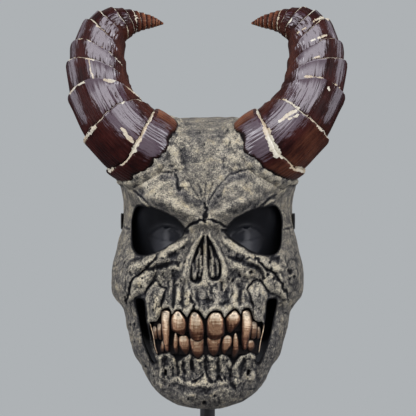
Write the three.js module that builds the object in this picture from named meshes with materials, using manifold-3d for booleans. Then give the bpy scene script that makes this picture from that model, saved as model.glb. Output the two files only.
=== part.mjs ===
// A horned skull mask of painted latex, worn by a black display head on a rod and a round foot.
// Units are millimetres. +Z is up, the mask faces -Y, and the origin is the middle of the foot's underside.
// Heights in the mask and in the head form are measured from the lowest point of the chin.
import * as THREE from "three";
import { mergeVertices } from "three/addons/utils/BufferGeometryUtils.js";
import Module from "manifold-3d";

const wasm = await Module();
wasm.setup();

// Driving dimensions
const chinHeight = 150; // the chin above the table
const maskTop = 288; // the flat crown above the chin
const wall = 5; // thickness of the latex
const clearance = 0.3; // gap between pieces that touch
const sideRoundness = 2.3; // power of the mask's plan curve across
const frontRoundness = 2.1; // and from front to back
const maskRows = 38;
const maskColumns = 36;
const liningRows = 20;
const liningColumns = 18;
const rimFade = [4, 32]; // the carving fades out between these distances from the back edge
const mouthDepth = 10; // how far the room of the teeth reaches behind the gums
const mouthMiddle = 74; // height at which the teeth's curve is taken
const nostrilDepth = 10;
const frontOfAll = -140; // cutting bars start here, before the mask
const openingEnd = -5; // and the eye openings' bars end here, behind its front
const hornSides = 14;
const headRows = 15;
const headSides = 20;
const strapWidth = 16;
const strapThickness = 1.6;
const strapHeight = 183; // middle of the strap above the chin
const strapStartY = 6;
const rodRadius = 7.4;
const rodInHead = 50; // how far the rod reaches into the head form
const rodInFoot = 12;
const footRadius = 110;
const footThickness = 8;
const footChamfer = 2;
const collarRadius = 18; // at the foot of the rod
const collarTopRadius = 16;

// A curve through given points, sampled closely.
const through = (points, count = 400) =>
  new THREE.CatmullRomCurve3(
    points.map(([a, b, c = 0]) => new THREE.Vector3(a, b, c)),
    false,
    "centripetal",
  ).getPoints(count);

// Gives a value for a height from [value, height] pairs, along a smooth curve.
function byHeight(points) {
  const samples = through(points);
  return (z) => {
    let low = 0;
    let high = samples.length - 1;
    if (z <= samples[low].y) return samples[low].x;
    if (z >= samples[high].y) return samples[high].x;
    while (high - low > 1) {
      const middle = (low + high) >> 1;
      if (samples[middle].y <= z) low = middle;
      else high = middle;
    }
    const step = samples[high].y - samples[low].y || 1;
    return THREE.MathUtils.lerp(samples[low].x, samples[high].x, (z - samples[low].y) / step);
  };
}

// The mask's outline from the front: half its width at each height
const halfWidthPoints = [
  [0, 0], [16, 1], [34, 6], [45.5, 13], [52.7, 20], [58, 27.5], [61.3, 34], [66, 43], [72, 50.5],
  [76.2, 64.8], [80.5, 80.3], [83.4, 95], [88.5, 102], [94.5, 110], [96.3, 124], [95.5, 138], [92, 152],
  [89.3, 165], [86, 177], [85, 191], [85.5, 206], [88.5, 218], [90, 236], [86, 256], [74, 271], [56, 281],
  [32, 286.6], [0, maskTop],
];
// Its middle line from the side, from the throat over chin, face and forehead to the crown
const frontPoints = [
  [-40, 0], [-62, 0.6], [-78, 4], [-88, 12], [-92, 24], [-91, 38], [-92, 52], [-95, 70], [-96, 92],
  [-93, 118], [-89, 145], [-86, 168], [-87, 192], [-88, 215], [-86, 235], [-78, 255], [-62, 271],
  [-38, 281.5], [-6, 286.6], [38, maskTop],
];
// Its open back edge from the side
const backPoints = [
  [-40, 0], [-31, 20], [-15, 50], [1, 88], [13, 136], [23, 184], [31, 232], [36.5, 272], [38, maskTop],
];
const halfWidth = byHeight(halfWidthPoints);
const frontLine = byHeight(frontPoints);
const backLine = byHeight(backPoints);

// Swellings and hollows of the bone on one side: place, half sizes, tilt in degrees, height
const swellings = [
  { x: 42, z: 208, across: 40, up: 24, tilt: 8, height: 6 }, // brow plate
  { x: 80, z: 131, across: 30, up: 26, tilt: 0, height: 9 }, // cheekbone
  { x: 56, z: 144, across: 34, up: 12, tilt: -12, height: 6 }, // rim under the socket
  { x: 0, z: 84, across: 62, up: 46, tilt: 0, height: 6 }, // muzzle
  { x: 0, z: 20, across: 36, up: 20, tilt: 0, height: 6 }, // chin
  { x: 40, z: 124, across: 22, up: 17, tilt: 0, height: -7 }, // hollow beside the nose
  { x: 66, z: 94, across: 17, up: 34, tilt: -8, height: -7 }, // hollow under the cheekbone
  { x: 82, z: 205, across: 26, up: 30, tilt: 0, height: -8 }, // temple
];
// Ridges of the bone: from one point to another, half width, height
const ridges = [
  { from: [9, 186], to: [62, 206], half: 18, height: 13 }, // brow
  { from: [0, 182], to: [0, 166], half: 12, height: 5 }, // bridge of the nose
  { from: [5, 168], to: [19, 131], half: 9, height: 6 }, // edge of the nasal opening
];
// The eye opening on one side, and the slot between the cheek and the jaw
const eyePoints = [
  [20.5, 173.5], [23.5, 179], [29, 185.5], [38.5, 190.8], [47.5, 194.7], [57.5, 197], [68, 197.8],
  [71.8, 192.5], [74, 183], [73.5, 173], [72.8, 163], [71, 156], [67, 151.5], [60, 150.4], [51, 152.3],
  [43, 155.6], [35.5, 160.5], [28, 165.5], [22.5, 170],
];
const slotPoints = [
  [68.2, 107.7], [65.5, 87.6], [61.6, 69.3], [56.4, 55.7], [51, 45.8], [49, 47.4], [52, 58.9],
  [54.9, 76.3], [58.2, 89.8], [60.5, 107.2],
];
const nostrilPoints = [
  [2.6, 168.5], [4.8, 165], [9.5, 152], [13.5, 139], [14.6, 130], [10, 125.4], [5, 127], [2.6, 142],
];
// The mouth on one side: gum line over the upper teeth, then back along the lower gum
const mouthPoints = [
  [0, 88], [3.5, 94], [8.5, 98.5], [14, 97], [18.6, 93], [23, 96.5], [27.6, 98.3], [33.5, 94],
  [37, 98.5], [41, 99], [44.5, 92], [47, 86.5], [51, 85], [53.5, 80], [54, 70], [52.5, 57], [49, 55],
  [43, 56], [36, 53.5], [31, 50.5], [26.5, 49], [22, 53.5], [14, 55.5], [7, 54.5], [0, 57.5],
];

function closedOutline(points, count) {
  const curve = new THREE.CatmullRomCurve3(
    points.map(([x, z]) => new THREE.Vector3(x, z, 0)),
    true,
    "centripetal",
  );
  return curve.getPoints(count).slice(0, -1).map((p) => new THREE.Vector2(p.x, p.y));
}
const eyeOutline = closedOutline(eyePoints, 30);
const slotOutline = closedOutline(slotPoints, 24);
const nostrilOutline = closedOutline(nostrilPoints, 16);
const noseMiddle = new THREE.Vector2(9, 148);
const teethRoomBox = { depth: 60, low: 40, high: 110, end: 54 }; // larger than the mouth all round

function distanceToOutline(x, z, outline) {
  let nearest = Infinity;
  let inside = false;
  outline.forEach((p, i) => {
    const q = outline[(i + 1) % outline.length];
    const [dx, dz] = [q.x - p.x, q.y - p.y];
    const along = THREE.MathUtils.clamp(((x - p.x) * dx + (z - p.y) * dz) / (dx * dx + dz * dz), 0, 1);
    nearest = Math.min(nearest, Math.hypot(x - p.x - along * dx, z - p.y - along * dz));
    if (p.y > z !== q.y > z && x < p.x + ((z - p.y) / dz) * dx) inside = !inside;
  });
  return inside ? -nearest : nearest;
}

const fade = (share) => Math.max(0, 1 - share) ** 2;

// Height of the carved bone over the smooth base, measured towards the front.
function relief(xSigned, z) {
  const x = Math.abs(xSigned);
  let height = 0;
  for (const s of swellings) {
    const turn = THREE.MathUtils.degToRad(s.tilt);
    const [dx, dz] = [x - s.x, z - s.z];
    const u = dx * Math.cos(turn) + dz * Math.sin(turn);
    const v = dz * Math.cos(turn) - dx * Math.sin(turn);
    height += s.height * fade((u / s.across) ** 2 + (v / s.up) ** 2);
  }
  for (const r of ridges) {
    const [dx, dz] = [r.to[0] - r.from[0], r.to[1] - r.from[1]];
    const along = THREE.MathUtils.clamp(
      ((x - r.from[0]) * dx + (z - r.from[1]) * dz) / (dx * dx + dz * dz), 0, 1);
    const away = Math.hypot(x - r.from[0] - along * dx, z - r.from[1] - along * dz);
    height += r.height * fade((away / r.half) ** 2);
  }
  const socketSlope = 9; // width of the slope round the eye opening
  const socketDrop = 10;
  const toEye = Math.max(0, distanceToOutline(x, z, eyeOutline));
  return height - socketDrop * fade(toEye / socketSlope);
}

// A point of the mask's skin: turn runs from -90 to 90 degrees round the face, z up it.
function skinPoint(turn, z, inset, reliefAt) {
  const [s, c] = [Math.sin(turn), Math.cos(turn)];
  const across = Math.max(halfWidth(z) - inset, 0) * Math.sign(s) * Math.abs(s) ** (2 / sideRoundness);
  const back = backLine(z);
  const depth = Math.max(back - frontLine(z) - inset, 0) * Math.abs(c) ** (2 / frontRoundness);
  const nearRim = THREE.MathUtils.smoothstep(depth, ...rimFade);
  return new THREE.Vector3(across, back - depth - nearRim * reliefAt(across, z), z);
}

// How far forward the carved face stands at a place in the front view.
function faceY(x, z, inset = 0) {
  const share = Math.min(1, Math.abs(x) / (halfWidth(z) - inset));
  return skinPoint(Math.asin(share ** (sideRoundness / 2)) * Math.sign(x), z, inset, relief).y;
}

// Heights of the rows, evenly along the face's middle line but closer where the carving is.
function rowHeights(count) {
  const samples = through(frontPoints, 900);
  const lengths = [0];
  for (let i = 1; i < samples.length; i++) {
    const finer = samples[i].y > 40 && samples[i].y < 222 ? 1.5 : 1;
    lengths.push(lengths[i - 1] + finer * samples[i].distanceTo(samples[i - 1]));
  }
  const heights = [];
  for (let row = 1, i = 0; row <= count; row++) {
    const wanted = (row / (count + 1)) * lengths[lengths.length - 1];
    while (lengths[i] < wanted) i++;
    heights.push(samples[i].y);
  }
  return heights;
}

function geometryOf(vertices, faces) {
  const positions = new Float32Array(vertices.flatMap((v) => [v.x, v.y, v.z]));
  const geometry = new THREE.BufferGeometry();
  geometry.setAttribute("position", new THREE.BufferAttribute(positions, 3));
  geometry.setIndex(faces.flat());
  return geometry;
}

// A closed body between rings of points, each end drawn together to a point.
function bodyThrough(rings, startPoint, endPoint) {
  const around = rings[0].length;
  const vertices = [...rings.flat(), startPoint, endPoint];
  const [start, end] = [vertices.length - 2, vertices.length - 1];
  const faces = [];
  const last = (rings.length - 1) * around;
  for (let i = 0; i < around; i++) {
    const next = (i + 1) % around;
    faces.push([start, next, i], [end, last + i, last + next]);
    for (let row = 0; row < last; row += around) {
      const [a, b, c, d] = [row + i, row + next, row + around + next, row + around + i];
      const rising = vertices[a].distanceTo(vertices[c]) < vertices[b].distanceTo(vertices[d]);
      faces.push(...(rising ? [[a, b, c], [a, c, d]] : [[a, b, d], [b, c, d]]));
    }
  }
  return geometryOf(vertices, faces);
}

// Turns a closed geometry into a solid for cutting and joining, facing outwards.
function solid(geometry, matrix = new THREE.Matrix4()) {
  const bare = new THREE.BufferGeometry();
  bare.setAttribute("position", geometry.getAttribute("position").clone());
  if (geometry.index) bare.setIndex(geometry.index.clone());
  bare.applyMatrix4(matrix);
  const merged = mergeVertices(bare, 1e-3);
  const triVerts = new Uint32Array(merged.index.array);
  const make = () =>
    new wasm.Manifold(
      new wasm.Mesh({ numProp: 3, vertProperties: merged.attributes.position.array, triVerts }),
    );
  let made = make();
  if (made.volume() < 0) {
    for (let i = 0; i < triVerts.length; i += 3) {
      [triVerts[i + 1], triVerts[i + 2]] = [triVerts[i + 2], triVerts[i + 1]];
    }
    made = make();
  }
  return made;
}

function backToGeometry(made) {
  const mesh = made.getMesh();
  const geometry = new THREE.BufferGeometry();
  geometry.setAttribute("position", new THREE.BufferAttribute(new Float32Array(mesh.vertProperties), 3));
  geometry.setIndex(new THREE.BufferAttribute(new Uint32Array(mesh.triVerts), 1));
  geometry.computeVertexNormals();
  return geometry;
}

// Crumbs that a cut leaves beside the piece are dropped.
const largest = (made) => made.decompose().sort((a, b) => b.volume() - a.volume())[0];

const mirror = new THREE.Matrix4().makeScale(-1, 1, 1);
const mirrored = (made) => solid(backToGeometry(made), mirror);

// A bar with the given outline in the front view, running from one depth to another.
function frontBar(outline, fromY, toY, matrix) {
  const bar = new THREE.ExtrudeGeometry(new THREE.Shape(outline), {
    depth: toY - fromY,
    bevelEnabled: false,
  });
  bar.rotateX(Math.PI / 2); // the outline's up becomes +Z and its depth becomes -Y
  bar.translate(0, toY, 0);
  return solid(bar, matrix);
}

// The mask's skin as a full body: the carved front, closed straight across its back edge.
function skinBody(rows, columns, inset, reliefAt, backwards) {
  const heights = rowHeights(rows).map((z) => THREE.MathUtils.clamp(z, inset, maskTop - inset));
  const loops = heights.map((z, row) => {
    const level = inset ? z + (row - rows / 2) * 1e-3 : z; // keeps levelled rows apart
    const loop = [];
    for (let column = 0; column <= columns; column++) {
      loop.push(skinPoint(Math.PI * (column / columns - 0.5), level, inset, reliefAt));
    }
    const [left, right] = [loop[0], loop[columns]];
    if (backwards) {
      loop.push(right.clone().setY(right.y + backwards), left.clone().setY(left.y + backwards));
    }
    return loop;
  });
  const poleAt = (z) => new THREE.Vector3(0, backLine(z) + backwards / 2, z);
  const low = inset ? loops[0][0].z - 0.02 : 0;
  const high = inset ? loops[rows - 1][0].z + 0.02 : maskTop;
  return solid(bodyThrough(loops, poleAt(low), poleAt(high)));
}

// Carving the inside follows: softer than outside, and deeper behind the nose and the teeth.
const noseRoom = { z: 146, across: 34, up: 42, depth: 16 };
const mouthRoom = { up: [26, 42], across: [50, 66], depth: mouthDepth + 2 };
const softestRelief = 6; // swellings show inside up to this height
const deepestRoom = 14;

function liningRelief(x, z) {
  const fadeOut = (value, [start, end]) => 1 - THREE.MathUtils.smoothstep(Math.abs(value), start, end);
  const fromNose = (x / noseRoom.across) ** 2 + ((z - noseRoom.z) / noseRoom.up) ** 2;
  const behindNose = noseRoom.depth * fade(fromNose);
  const behindMouth =
    mouthRoom.depth * fadeOut(z - mouthMiddle, mouthRoom.up) * fadeOut(x, mouthRoom.across);
  return Math.min(relief(x, z), softestRelief) - Math.min(behindNose + behindMouth, deepestRoom) - 1;
}

// Horns: centre line of the right horn from inside the forehead to the tip, with its radius
const hornLine = [
  { at: [42, -26, 238], radius: 31 },
  { at: [50, -39, 246], radius: 38 },
  { at: [59, -49, 254], radius: 40 },
  { at: [71.5, -54, 262], radius: 38.5 },
  { at: [89, -54, 280], radius: 34 },
  { at: [102, -48, 303], radius: 30.5 },
  { at: [106, -43, 318], radius: 29.5 },
  { at: [108, -37, 335], radius: 28.5 },
  { at: [107, -31, 350.5], radius: 26.5 },
  { at: [101, -25, 368], radius: 23.4 },
  { at: [94, -21, 375.5], radius: 20 },
  { at: [84, -17, 379], radius: 16.4 },
  { at: [77, -14, 381], radius: 13 },
  { at: [67, -11, 382], radius: 9.6 },
  { at: [53.6, -8, 381.5], radius: 5.5 },
  { at: [43.7, -6, 380.3], radius: 0.8 },
];
// Where each growth ring ends, counted in points of the line, and how far its edge stands out
const hornRings = [
  { end: 3.15, lip: 2.2 },
  { end: 4.05, lip: 3.2 },
  { end: 5.1, lip: 2.8 },
  { end: 6.6, lip: 2.4 },
  { end: 7.5, lip: 1.8 },
  { end: 8.6, lip: 1.6 },
  { end: 9.8, lip: 1.4 },
  { end: 11, lip: 1.2 },
  { end: 12, lip: 1 },
  { end: 12.7, lip: 0.7 },
  { end: 13.3, lip: 0.7 },
  { end: 13.8, lip: 0.7 },
  { end: 14.25, lip: 0.6 },
  { end: 14.65, lip: 0.5 },
];

function horn(growth) {
  const centre = new THREE.CatmullRomCurve3(
    hornLine.map((p) => new THREE.Vector3(...p.at)), false, "centripetal");
  const sizes = new THREE.CatmullRomCurve3(
    hornLine.map((p) => new THREE.Vector3(p.radius, 0, 0)), false, "centripetal");
  // Each ring of growth swells to its upper edge, and the next one starts inside it.
  const stations = [];
  const longRing = 1.2; // a ring longer than this gets a waist
  const step = 0.1; // length of the step down from an edge
  let from = 0;
  for (const { end, lip } of hornRings) {
    stations.push({ at: from + step / 10, out: from ? -lip * 0.3 : 0 });
    if (end - from > longRing) stations.push({ at: (from + end) / 2, out: -lip * 0.1 });
    stations.push({ at: end - step, out: lip });
    from = end;
  }
  stations.push({ at: from + step, out: -0.3 }, { at: hornLine.length - 1 - step / 2, out: 0 });
  const sideways = new THREE.Vector3(0, -1, 0);
  const rings = stations.map(({ at, out }) => {
    const share = at / (hornLine.length - 1);
    const middle = centre.getPoint(share);
    const along = centre.getTangent(share);
    sideways.addScaledVector(along, -sideways.dot(along)).normalize();
    const third = new THREE.Vector3().crossVectors(along, sideways);
    const size = Math.max(sizes.getPoint(share).x + out + growth, 0.6);
    return Array.from({ length: hornSides }, (_, i) => {
      const angle = (2 * Math.PI * i) / hornSides;
      return middle.clone()
        .addScaledVector(sideways, size * Math.cos(angle))
        .addScaledVector(third, size * Math.sin(angle));
    });
  });
  return solid(bodyThrough(rings, centre.getPoint(0), centre.getPoint(1)));
}

// Teeth of one side: distance from the middle, centre height, half width, half height
const upperTeeth = [
  { x: 9.2, z: 84.5, half: 7.9, tall: 14.8 },
  { x: 26.5, z: 86.3, half: 7.5, tall: 12 },
  { x: 39.6, z: 78, half: 5, tall: 20.6 },
  { x: 46, z: 76, half: 3.6, tall: 10.5 },
  { x: 51, z: 77, half: 3.2, tall: 8 },
];
const lowerTeeth = [
  { x: 8, z: 63.5, half: 7.4, tall: 9 },
  { x: 20.4, z: 65, half: 5.2, tall: 9.6 },
  { x: 28.8, z: 64.5, half: 3.8, tall: 12 },
  { x: 36, z: 63, half: 3.4, tall: 7 },
  { x: 43, z: 63, half: 3.4, tall: 7 },
  { x: 49.5, z: 62.5, half: 3, tall: 6 },
];
// Each jaw's teeth share a band: its heights, how far their middles stand before the floor, their thickness
const upperBand = { low: 78, high: 92, stands: 6.4, thick: 3.4 };
const lowerBand = { low: 56, high: 66, stands: 3.2, thick: 2.8 };
const bandDepth = 3.8;
const bandEnd = 48; // half the width of the bands
const archStep = 6; // the teeth's curve is sampled this often across the mouth
const archEnd = -20; // behind the teeth at the corners of the mouth

const floorY = (x) => faceY(x, mouthMiddle) + mouthDepth;

// A band of even height that follows the floor of the mouth, between two distances from it.
function archBand(fromY, toY, low, high, end) {
  const across = [];
  for (let x = -end; x <= end; x += archStep) across.push(x);
  const front = across.map((x) => new THREE.Vector2(x, floorY(x) + fromY));
  const rear = across.map((x) => new THREE.Vector2(x, floorY(x) + toY)).reverse();
  const band = new THREE.ExtrudeGeometry(new THREE.Shape([...front, ...rear]), {
    depth: high - low,
    bevelEnabled: false,
  });
  band.translate(0, 0, low);
  return solid(band);
}

// The mouth as a bar through the face, a little smaller for the teeth than for the mask.
function mouthBar(inset) {
  const half = through(mouthPoints, 36);
  const outline = [...half, ...half.slice(1, -1).reverse().map((p) => new THREE.Vector3(-p.x, p.y, 0))];
  const smaller = outline.map((p, i) => {
    const before = outline[(i + outline.length - 1) % outline.length];
    const after = outline[(i + 1) % outline.length];
    const away = new THREE.Vector2(before.y - after.y, after.x - before.x).normalize();
    return new THREE.Vector2(p.x - inset * away.x, p.y - inset * away.y);
  });
  return frontBar(smaller, frontOfAll, archEnd);
}

// One jaw's teeth joined by their band, grown for use as a cutter.
function toothRow(teeth, { low, high, stands, thick }, grown) {
  let row = archBand(-bandDepth - grown, -clearance, low - grown, high + grown, bandEnd);
  for (const tooth of teeth) {
    for (const side of [-1, 1]) {
      const x = side * tooth.x;
      const shape = new THREE.SphereGeometry(1, 6, 5).rotateX(Math.PI / 2);
      const slope = (floorY(x + 1) - floorY(x - 1)) / 2;
      const placed = new THREE.Matrix4()
        .makeTranslation(x, floorY(x) - stands, tooth.z)
        .multiply(new THREE.Matrix4().makeRotationZ(Math.atan(slope)))
        .multiply(new THREE.Matrix4().makeScale(tooth.half + grown, thick + grown, tooth.tall + grown));
      row = row.add(solid(shape, placed));
    }
  }
  return row;
}

// The carved shell with its openings: the teeth's room is cut as deep as the curve of their floor.
function mask(lining, hornsGrown) {
  const nostrilFloor = faceY(noseMiddle.x, noseMiddle.y) + nostrilDepth;
  let shell = skinBody(maskRows, maskColumns, 0, relief, 0).subtract(lining);
  for (const side of [new THREE.Matrix4(), mirror]) {
    shell = shell.subtract(frontBar(eyeOutline, frontOfAll, openingEnd, side));
    shell = shell.subtract(frontBar(slotOutline, frontOfAll, openingEnd, side));
    shell = shell.subtract(frontBar(nostrilOutline, frontOfAll, nostrilFloor, side));
  }
  const { depth, low, high, end } = teethRoomBox;
  shell = shell.subtract(mouthBar(0).intersect(archBand(-depth, 0, low, high, end)));
  for (const cutter of hornsGrown) shell = shell.subtract(cutter);
  return largest(shell);
}

// The display head: half width, front and back at each height
const headWidth = byHeight([
  [50, 28], [55, 44], [61, 60], [67, 78], [71, 98], [75, 128], [78, 156], [79, 180], [78.5, 205],
  [74, 232], [63, 255], [42, 273], [0, 281],
]);
const headFront = byHeight([
  [-18, 28], [-22, 40], [-36, 54], [-54, 66], [-60, 86], [-65, 114], [-63, 142], [-62, 168], [-67, 190],
  [-72, 215], [-69, 235], [-55, 258], [-28, 275], [18, 281],
]);
const headBack = byHeight([
  [72, 28], [70, 44], [71, 66], [78, 94], [94, 132], [106, 170], [110, 200], [104, 230], [85, 256],
  [57, 273], [18, 281],
]);
const headBase = 28;
const headTop = 280.6;
const headMiddleBack = 4; // the widest place lies this far behind the middle of front and back

function headRing(z, around) {
  const middle = (headFront(z) + headBack(z)) / 2 + headMiddleBack;
  return Array.from({ length: around }, (_, i) => {
    const angle = (2 * Math.PI * i) / around;
    const [s, c] = [Math.sin(angle), Math.cos(angle)];
    const depth = c > 0 ? middle - headFront(z) : headBack(z) - middle;
    return new THREE.Vector3(headWidth(z) * s, middle - depth * Math.sign(c) * Math.abs(c) ** 0.9, z);
  });
}

function headForm() {
  const rings = [];
  const highest = 0.998 * (headTop - headBase); // the last ring lies just under the crown
  for (let i = 0; i <= headRows; i++) {
    const lift = Math.sin(((i / headRows) * Math.PI) / 2) ** 0.9; // rows gather towards the crown
    rings.push(headRing(headBase + highest * lift, headSides));
  }
  const neckMiddle = new THREE.Vector3(0, 30, headBase);
  const crown = new THREE.Vector3(0, 18, headTop + 0.2);
  const body = solid(bodyThrough(rings, neckMiddle, crown));
  const bore = new THREE.CylinderGeometry(
    rodRadius + clearance, rodRadius + clearance, 2 * rodInHead, headSides);
  bore.rotateX(Math.PI / 2).translate(0, 0, headBase);
  return body.subtract(solid(bore));
}

// The elastic strap: straight from the mask's temples to the head, then round its back.
function strap() {
  const temple = new THREE.Vector2(halfWidth(strapHeight) + clearance, backLine(strapHeight));
  const ring = headRing(strapHeight + strapWidth / 2, 48);
  const behind = Math.max(...ring.map((p) => p.y));
  const wide = Math.max(...ring.map((p) => p.x)) + 3;
  const middle = 26; // depth of the widest place of the head
  const deep = behind + 2 - middle;
  const reach = Math.hypot(temple.x / wide, (temple.y - middle) / deep);
  const lean = Math.atan2((temple.y - middle) / deep, temple.x / wide);
  const leaves = lean + Math.acos(1 / reach);
  const line = [];
  for (const y of [strapStartY, (strapStartY + temple.y) / 2, temple.y]) {
    line.push(new THREE.Vector2(sideX(y) + clearance, y));
  }
  const steps = 14;
  for (let i = 0; i <= steps; i++) {
    const angle = leaves + ((Math.PI / 2 - leaves) * i) / steps;
    line.push(new THREE.Vector2(wide * Math.cos(angle), middle + deep * Math.sin(angle)));
  }
  const half = [...line, ...line.slice(0, -1).reverse().map((p) => new THREE.Vector2(-p.x, p.y))];
  const outer = half.map((p, i) => {
    const [before, after] = [half[Math.max(i - 1, 0)], half[Math.min(i + 1, half.length - 1)]];
    const out = new THREE.Vector2(after.y - before.y, before.x - after.x).normalize();
    return p.clone().addScaledVector(out, strapThickness);
  });
  const band = new THREE.ExtrudeGeometry(new THREE.Shape([...half, ...outer.reverse()]), {
    depth: strapWidth,
    bevelEnabled: false,
  });
  band.translate(0, 0, strapHeight - strapWidth / 2);
  return solid(band);
}

// The mask's side at the strap's height: how far out it stands at a given depth.
function sideX(y) {
  let widest = 0;
  for (let z = strapHeight - strapWidth / 2; z <= strapHeight + strapWidth / 2; z += 2) {
    const share = Math.min(1, (backLine(z) - y) / (backLine(z) - frontLine(z)));
    const turn = Math.acos(Math.max(0, share) ** (frontRoundness / 2));
    widest = Math.max(widest, skinPoint(turn, z, 0, relief).x);
  }
  return widest;
}

const rodSeat = footThickness + 2; // height of the floor of the collar's bore

function foot() {
  const bore = rodRadius + clearance;
  const profile = [
    [0, 0], [footRadius, 0], [footRadius, footThickness - footChamfer],
    [footRadius - footChamfer, footThickness], [collarRadius, footThickness],
    [collarTopRadius, footThickness + rodInFoot], [bore, footThickness + rodInFoot],
    [bore, rodSeat], [0, rodSeat],
  ].map(([r, z]) => new THREE.Vector2(r, z));
  return new THREE.LatheGeometry(profile, 32).rotateX(Math.PI / 2);
}

function rod() {
  const bottom = rodSeat + clearance;
  const top = chinHeight + headBase + rodInHead - clearance;
  const bar = new THREE.CylinderGeometry(rodRadius, rodRadius, top - bottom, 20);
  return bar.rotateX(Math.PI / 2).translate(0, 0, (top + bottom) / 2);
}

const finishes = {
  bone: { color: 0x77716a, roughness: 0.75, metalness: 0 },
  horn: { color: 0x4a2620, roughness: 0.25, metalness: 0 },
  copper: { color: 0x9a6a4a, roughness: 0.4, metalness: 0.6 },
  black: { color: 0x1b1c1f, roughness: 0.35, metalness: 0 },
  elastic: { color: 0x141416, roughness: 0.9, metalness: 0 },
  steel: { color: 0x18181a, roughness: 0.45, metalness: 0.3 },
};

function piece(name, geometry, finish, height) {
  const mesh = new THREE.Mesh(geometry, new THREE.MeshStandardMaterial(finishes[finish]));
  mesh.name = name;
  mesh.position.z = height;
  return mesh;
}

const pastTheEdge = 60; // the lining body runs this far behind the back edge
const lining = skinBody(liningRows, liningColumns, wall, liningRelief, pastTheEdge);
const rightHorn = horn(0).subtract(lining);
const grownHorn = horn(clearance);
const teethRoom = mouthBar(clearance);
const upperRow = toothRow(upperTeeth, upperBand, 0);
const lowerRow = toothRow(lowerTeeth, lowerBand, 0).subtract(toothRow(upperTeeth, upperBand, clearance));
const skull = mask(lining, [grownHorn, mirrored(grownHorn)]);

const group = new THREE.Group();
group.add(
  piece("skull_mask", backToGeometry(skull), "bone", chinHeight),
  piece("horn_right", backToGeometry(rightHorn), "horn", chinHeight),
  piece("horn_left", backToGeometry(mirrored(rightHorn)), "horn", chinHeight),
  piece("upper_teeth", backToGeometry(upperRow.intersect(teethRoom)), "copper", chinHeight),
  piece("lower_teeth", backToGeometry(largest(lowerRow.intersect(teethRoom))), "copper", chinHeight),
  piece("display_head", backToGeometry(headForm()), "black", chinHeight),
  piece("head_strap", backToGeometry(strap()), "elastic", chinHeight),
  piece("stand_rod", rod(), "steel", 0),
  piece("stand_foot", foot(), "steel", 0),
);

export default group;
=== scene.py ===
# A horned skull mask of painted latex, worn by a black display head on its rod and foot.
# Shapes are worked out in millimetres, with heights from the chin, and put into meshes in metres.
import math
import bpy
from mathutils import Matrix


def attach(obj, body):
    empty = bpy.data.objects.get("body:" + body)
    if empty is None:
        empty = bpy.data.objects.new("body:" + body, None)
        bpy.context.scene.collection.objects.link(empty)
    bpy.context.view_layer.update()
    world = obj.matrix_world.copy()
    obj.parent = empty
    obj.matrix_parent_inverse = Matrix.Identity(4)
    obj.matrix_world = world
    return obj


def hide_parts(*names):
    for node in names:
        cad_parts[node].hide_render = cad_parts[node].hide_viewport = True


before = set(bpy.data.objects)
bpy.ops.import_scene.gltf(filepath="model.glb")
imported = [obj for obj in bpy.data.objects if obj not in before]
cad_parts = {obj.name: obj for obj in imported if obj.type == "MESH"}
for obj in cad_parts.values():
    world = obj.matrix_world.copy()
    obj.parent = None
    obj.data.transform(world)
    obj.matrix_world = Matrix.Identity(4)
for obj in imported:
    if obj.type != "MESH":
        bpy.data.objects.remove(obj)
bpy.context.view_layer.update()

from types import SimpleNamespace

import bpy
import numpy as np
from mathutils import Vector

coarser = 1
scene = bpy.context.scene
chinHeight = 150.0  # chin above the table
maskTop = 288.0
wall = 5.0
clearance = 0.3  # between pieces that touch
noiseCells = 20  # the noise repeats after that many cells
noiseStart = 200.37  # keeps its places above 0

# Curves and fields


# The curve through points[1:-1] at places counted in points, the first and last only steer it:
# each span is a cubic whose end slopes come from the neighbours, spaced by the root of their distance.
def curveAt(points, place):
    span = np.clip(place.astype(int), 0, len(points) - 4)
    w = (place - span)[:, None]
    p0, p1, p2, p3 = (points[span + k] for k in range(4))
    d0, d1, d2 = (np.sqrt(np.linalg.norm(b - a, axis=1))[:, None] for a, b in ((p0, p1), (p1, p2), (p2, p3)))
    s1 = ((p1 - p0) / d0 - (p2 - p0) / (d0 + d1) + (p2 - p1) / d1) * d1
    s2 = ((p2 - p1) / d1 - (p3 - p1) / (d1 + d2) + (p3 - p2) / d2) * d1
    return p1 + s1 * w + (3 * (p2 - p1) - 2 * s1 - s2) * w**2 + (2 * (p1 - p2) + s1 + s2) * w**3


# The points with one more before and after them, which only steer the ends of a curve.
def steered(points, closed=False):
    given = np.asarray(points, float)
    if closed:
        return np.vstack([given[-1:], given, given[:2]])
    return np.vstack([2 * given[0] - given[1], given, 2 * given[-1] - given[-2]])


# The curve through all the points, at evenly counted places.
def smoothLine(points, count, closed=False):
    guided = steered(points, closed)
    line = curveAt(guided, np.linspace(0, len(guided) - 3, count + 1))
    return line[:count] if closed else line


# Value for a height, from (value, height) pairs along a smooth curve.
def byHeight(points):
    line = smoothLine(points, 400)
    return lambda z: np.interp(z, line[:, 1], line[:, 0])


# How far along a line each of its points lies, each step counted with its weight.
def lengthAlong(line, weight=1):
    steps = np.linalg.norm(np.diff(line, axis=0), axis=1) * weight
    return np.concatenate([[0], np.cumsum(steps)])


# (1 - share)^2, down to nothing at share 1.
def fade(share):
    return np.clip(1 - share, 0, None) ** 2


# 0 below low, 1 above high, 3t^2 - 2t^3 between them.
def ease(low, high, value):
    t = np.clip((value - low) / (high - low), 0, 1)
    return t * t * (3 - 2 * t)


# A quarter circle's height, sqrt(1 - (1 - share)^2), from 0 at share 0 to 1 at share 1.
def quarterRound(share):
    return np.sqrt(1 - (1 - np.clip(share, 0, 1)) ** 2)


# sign(v)|v|^power, which makes a round section squarer or sharper.
def signedPower(value, power):
    return np.sign(value) * np.abs(value) ** power


# Angles evenly spaced round a full turn.
def around(count, start=0.0):
    return np.linspace(start, start + 2 * math.pi, count, endpoint=False)


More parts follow.
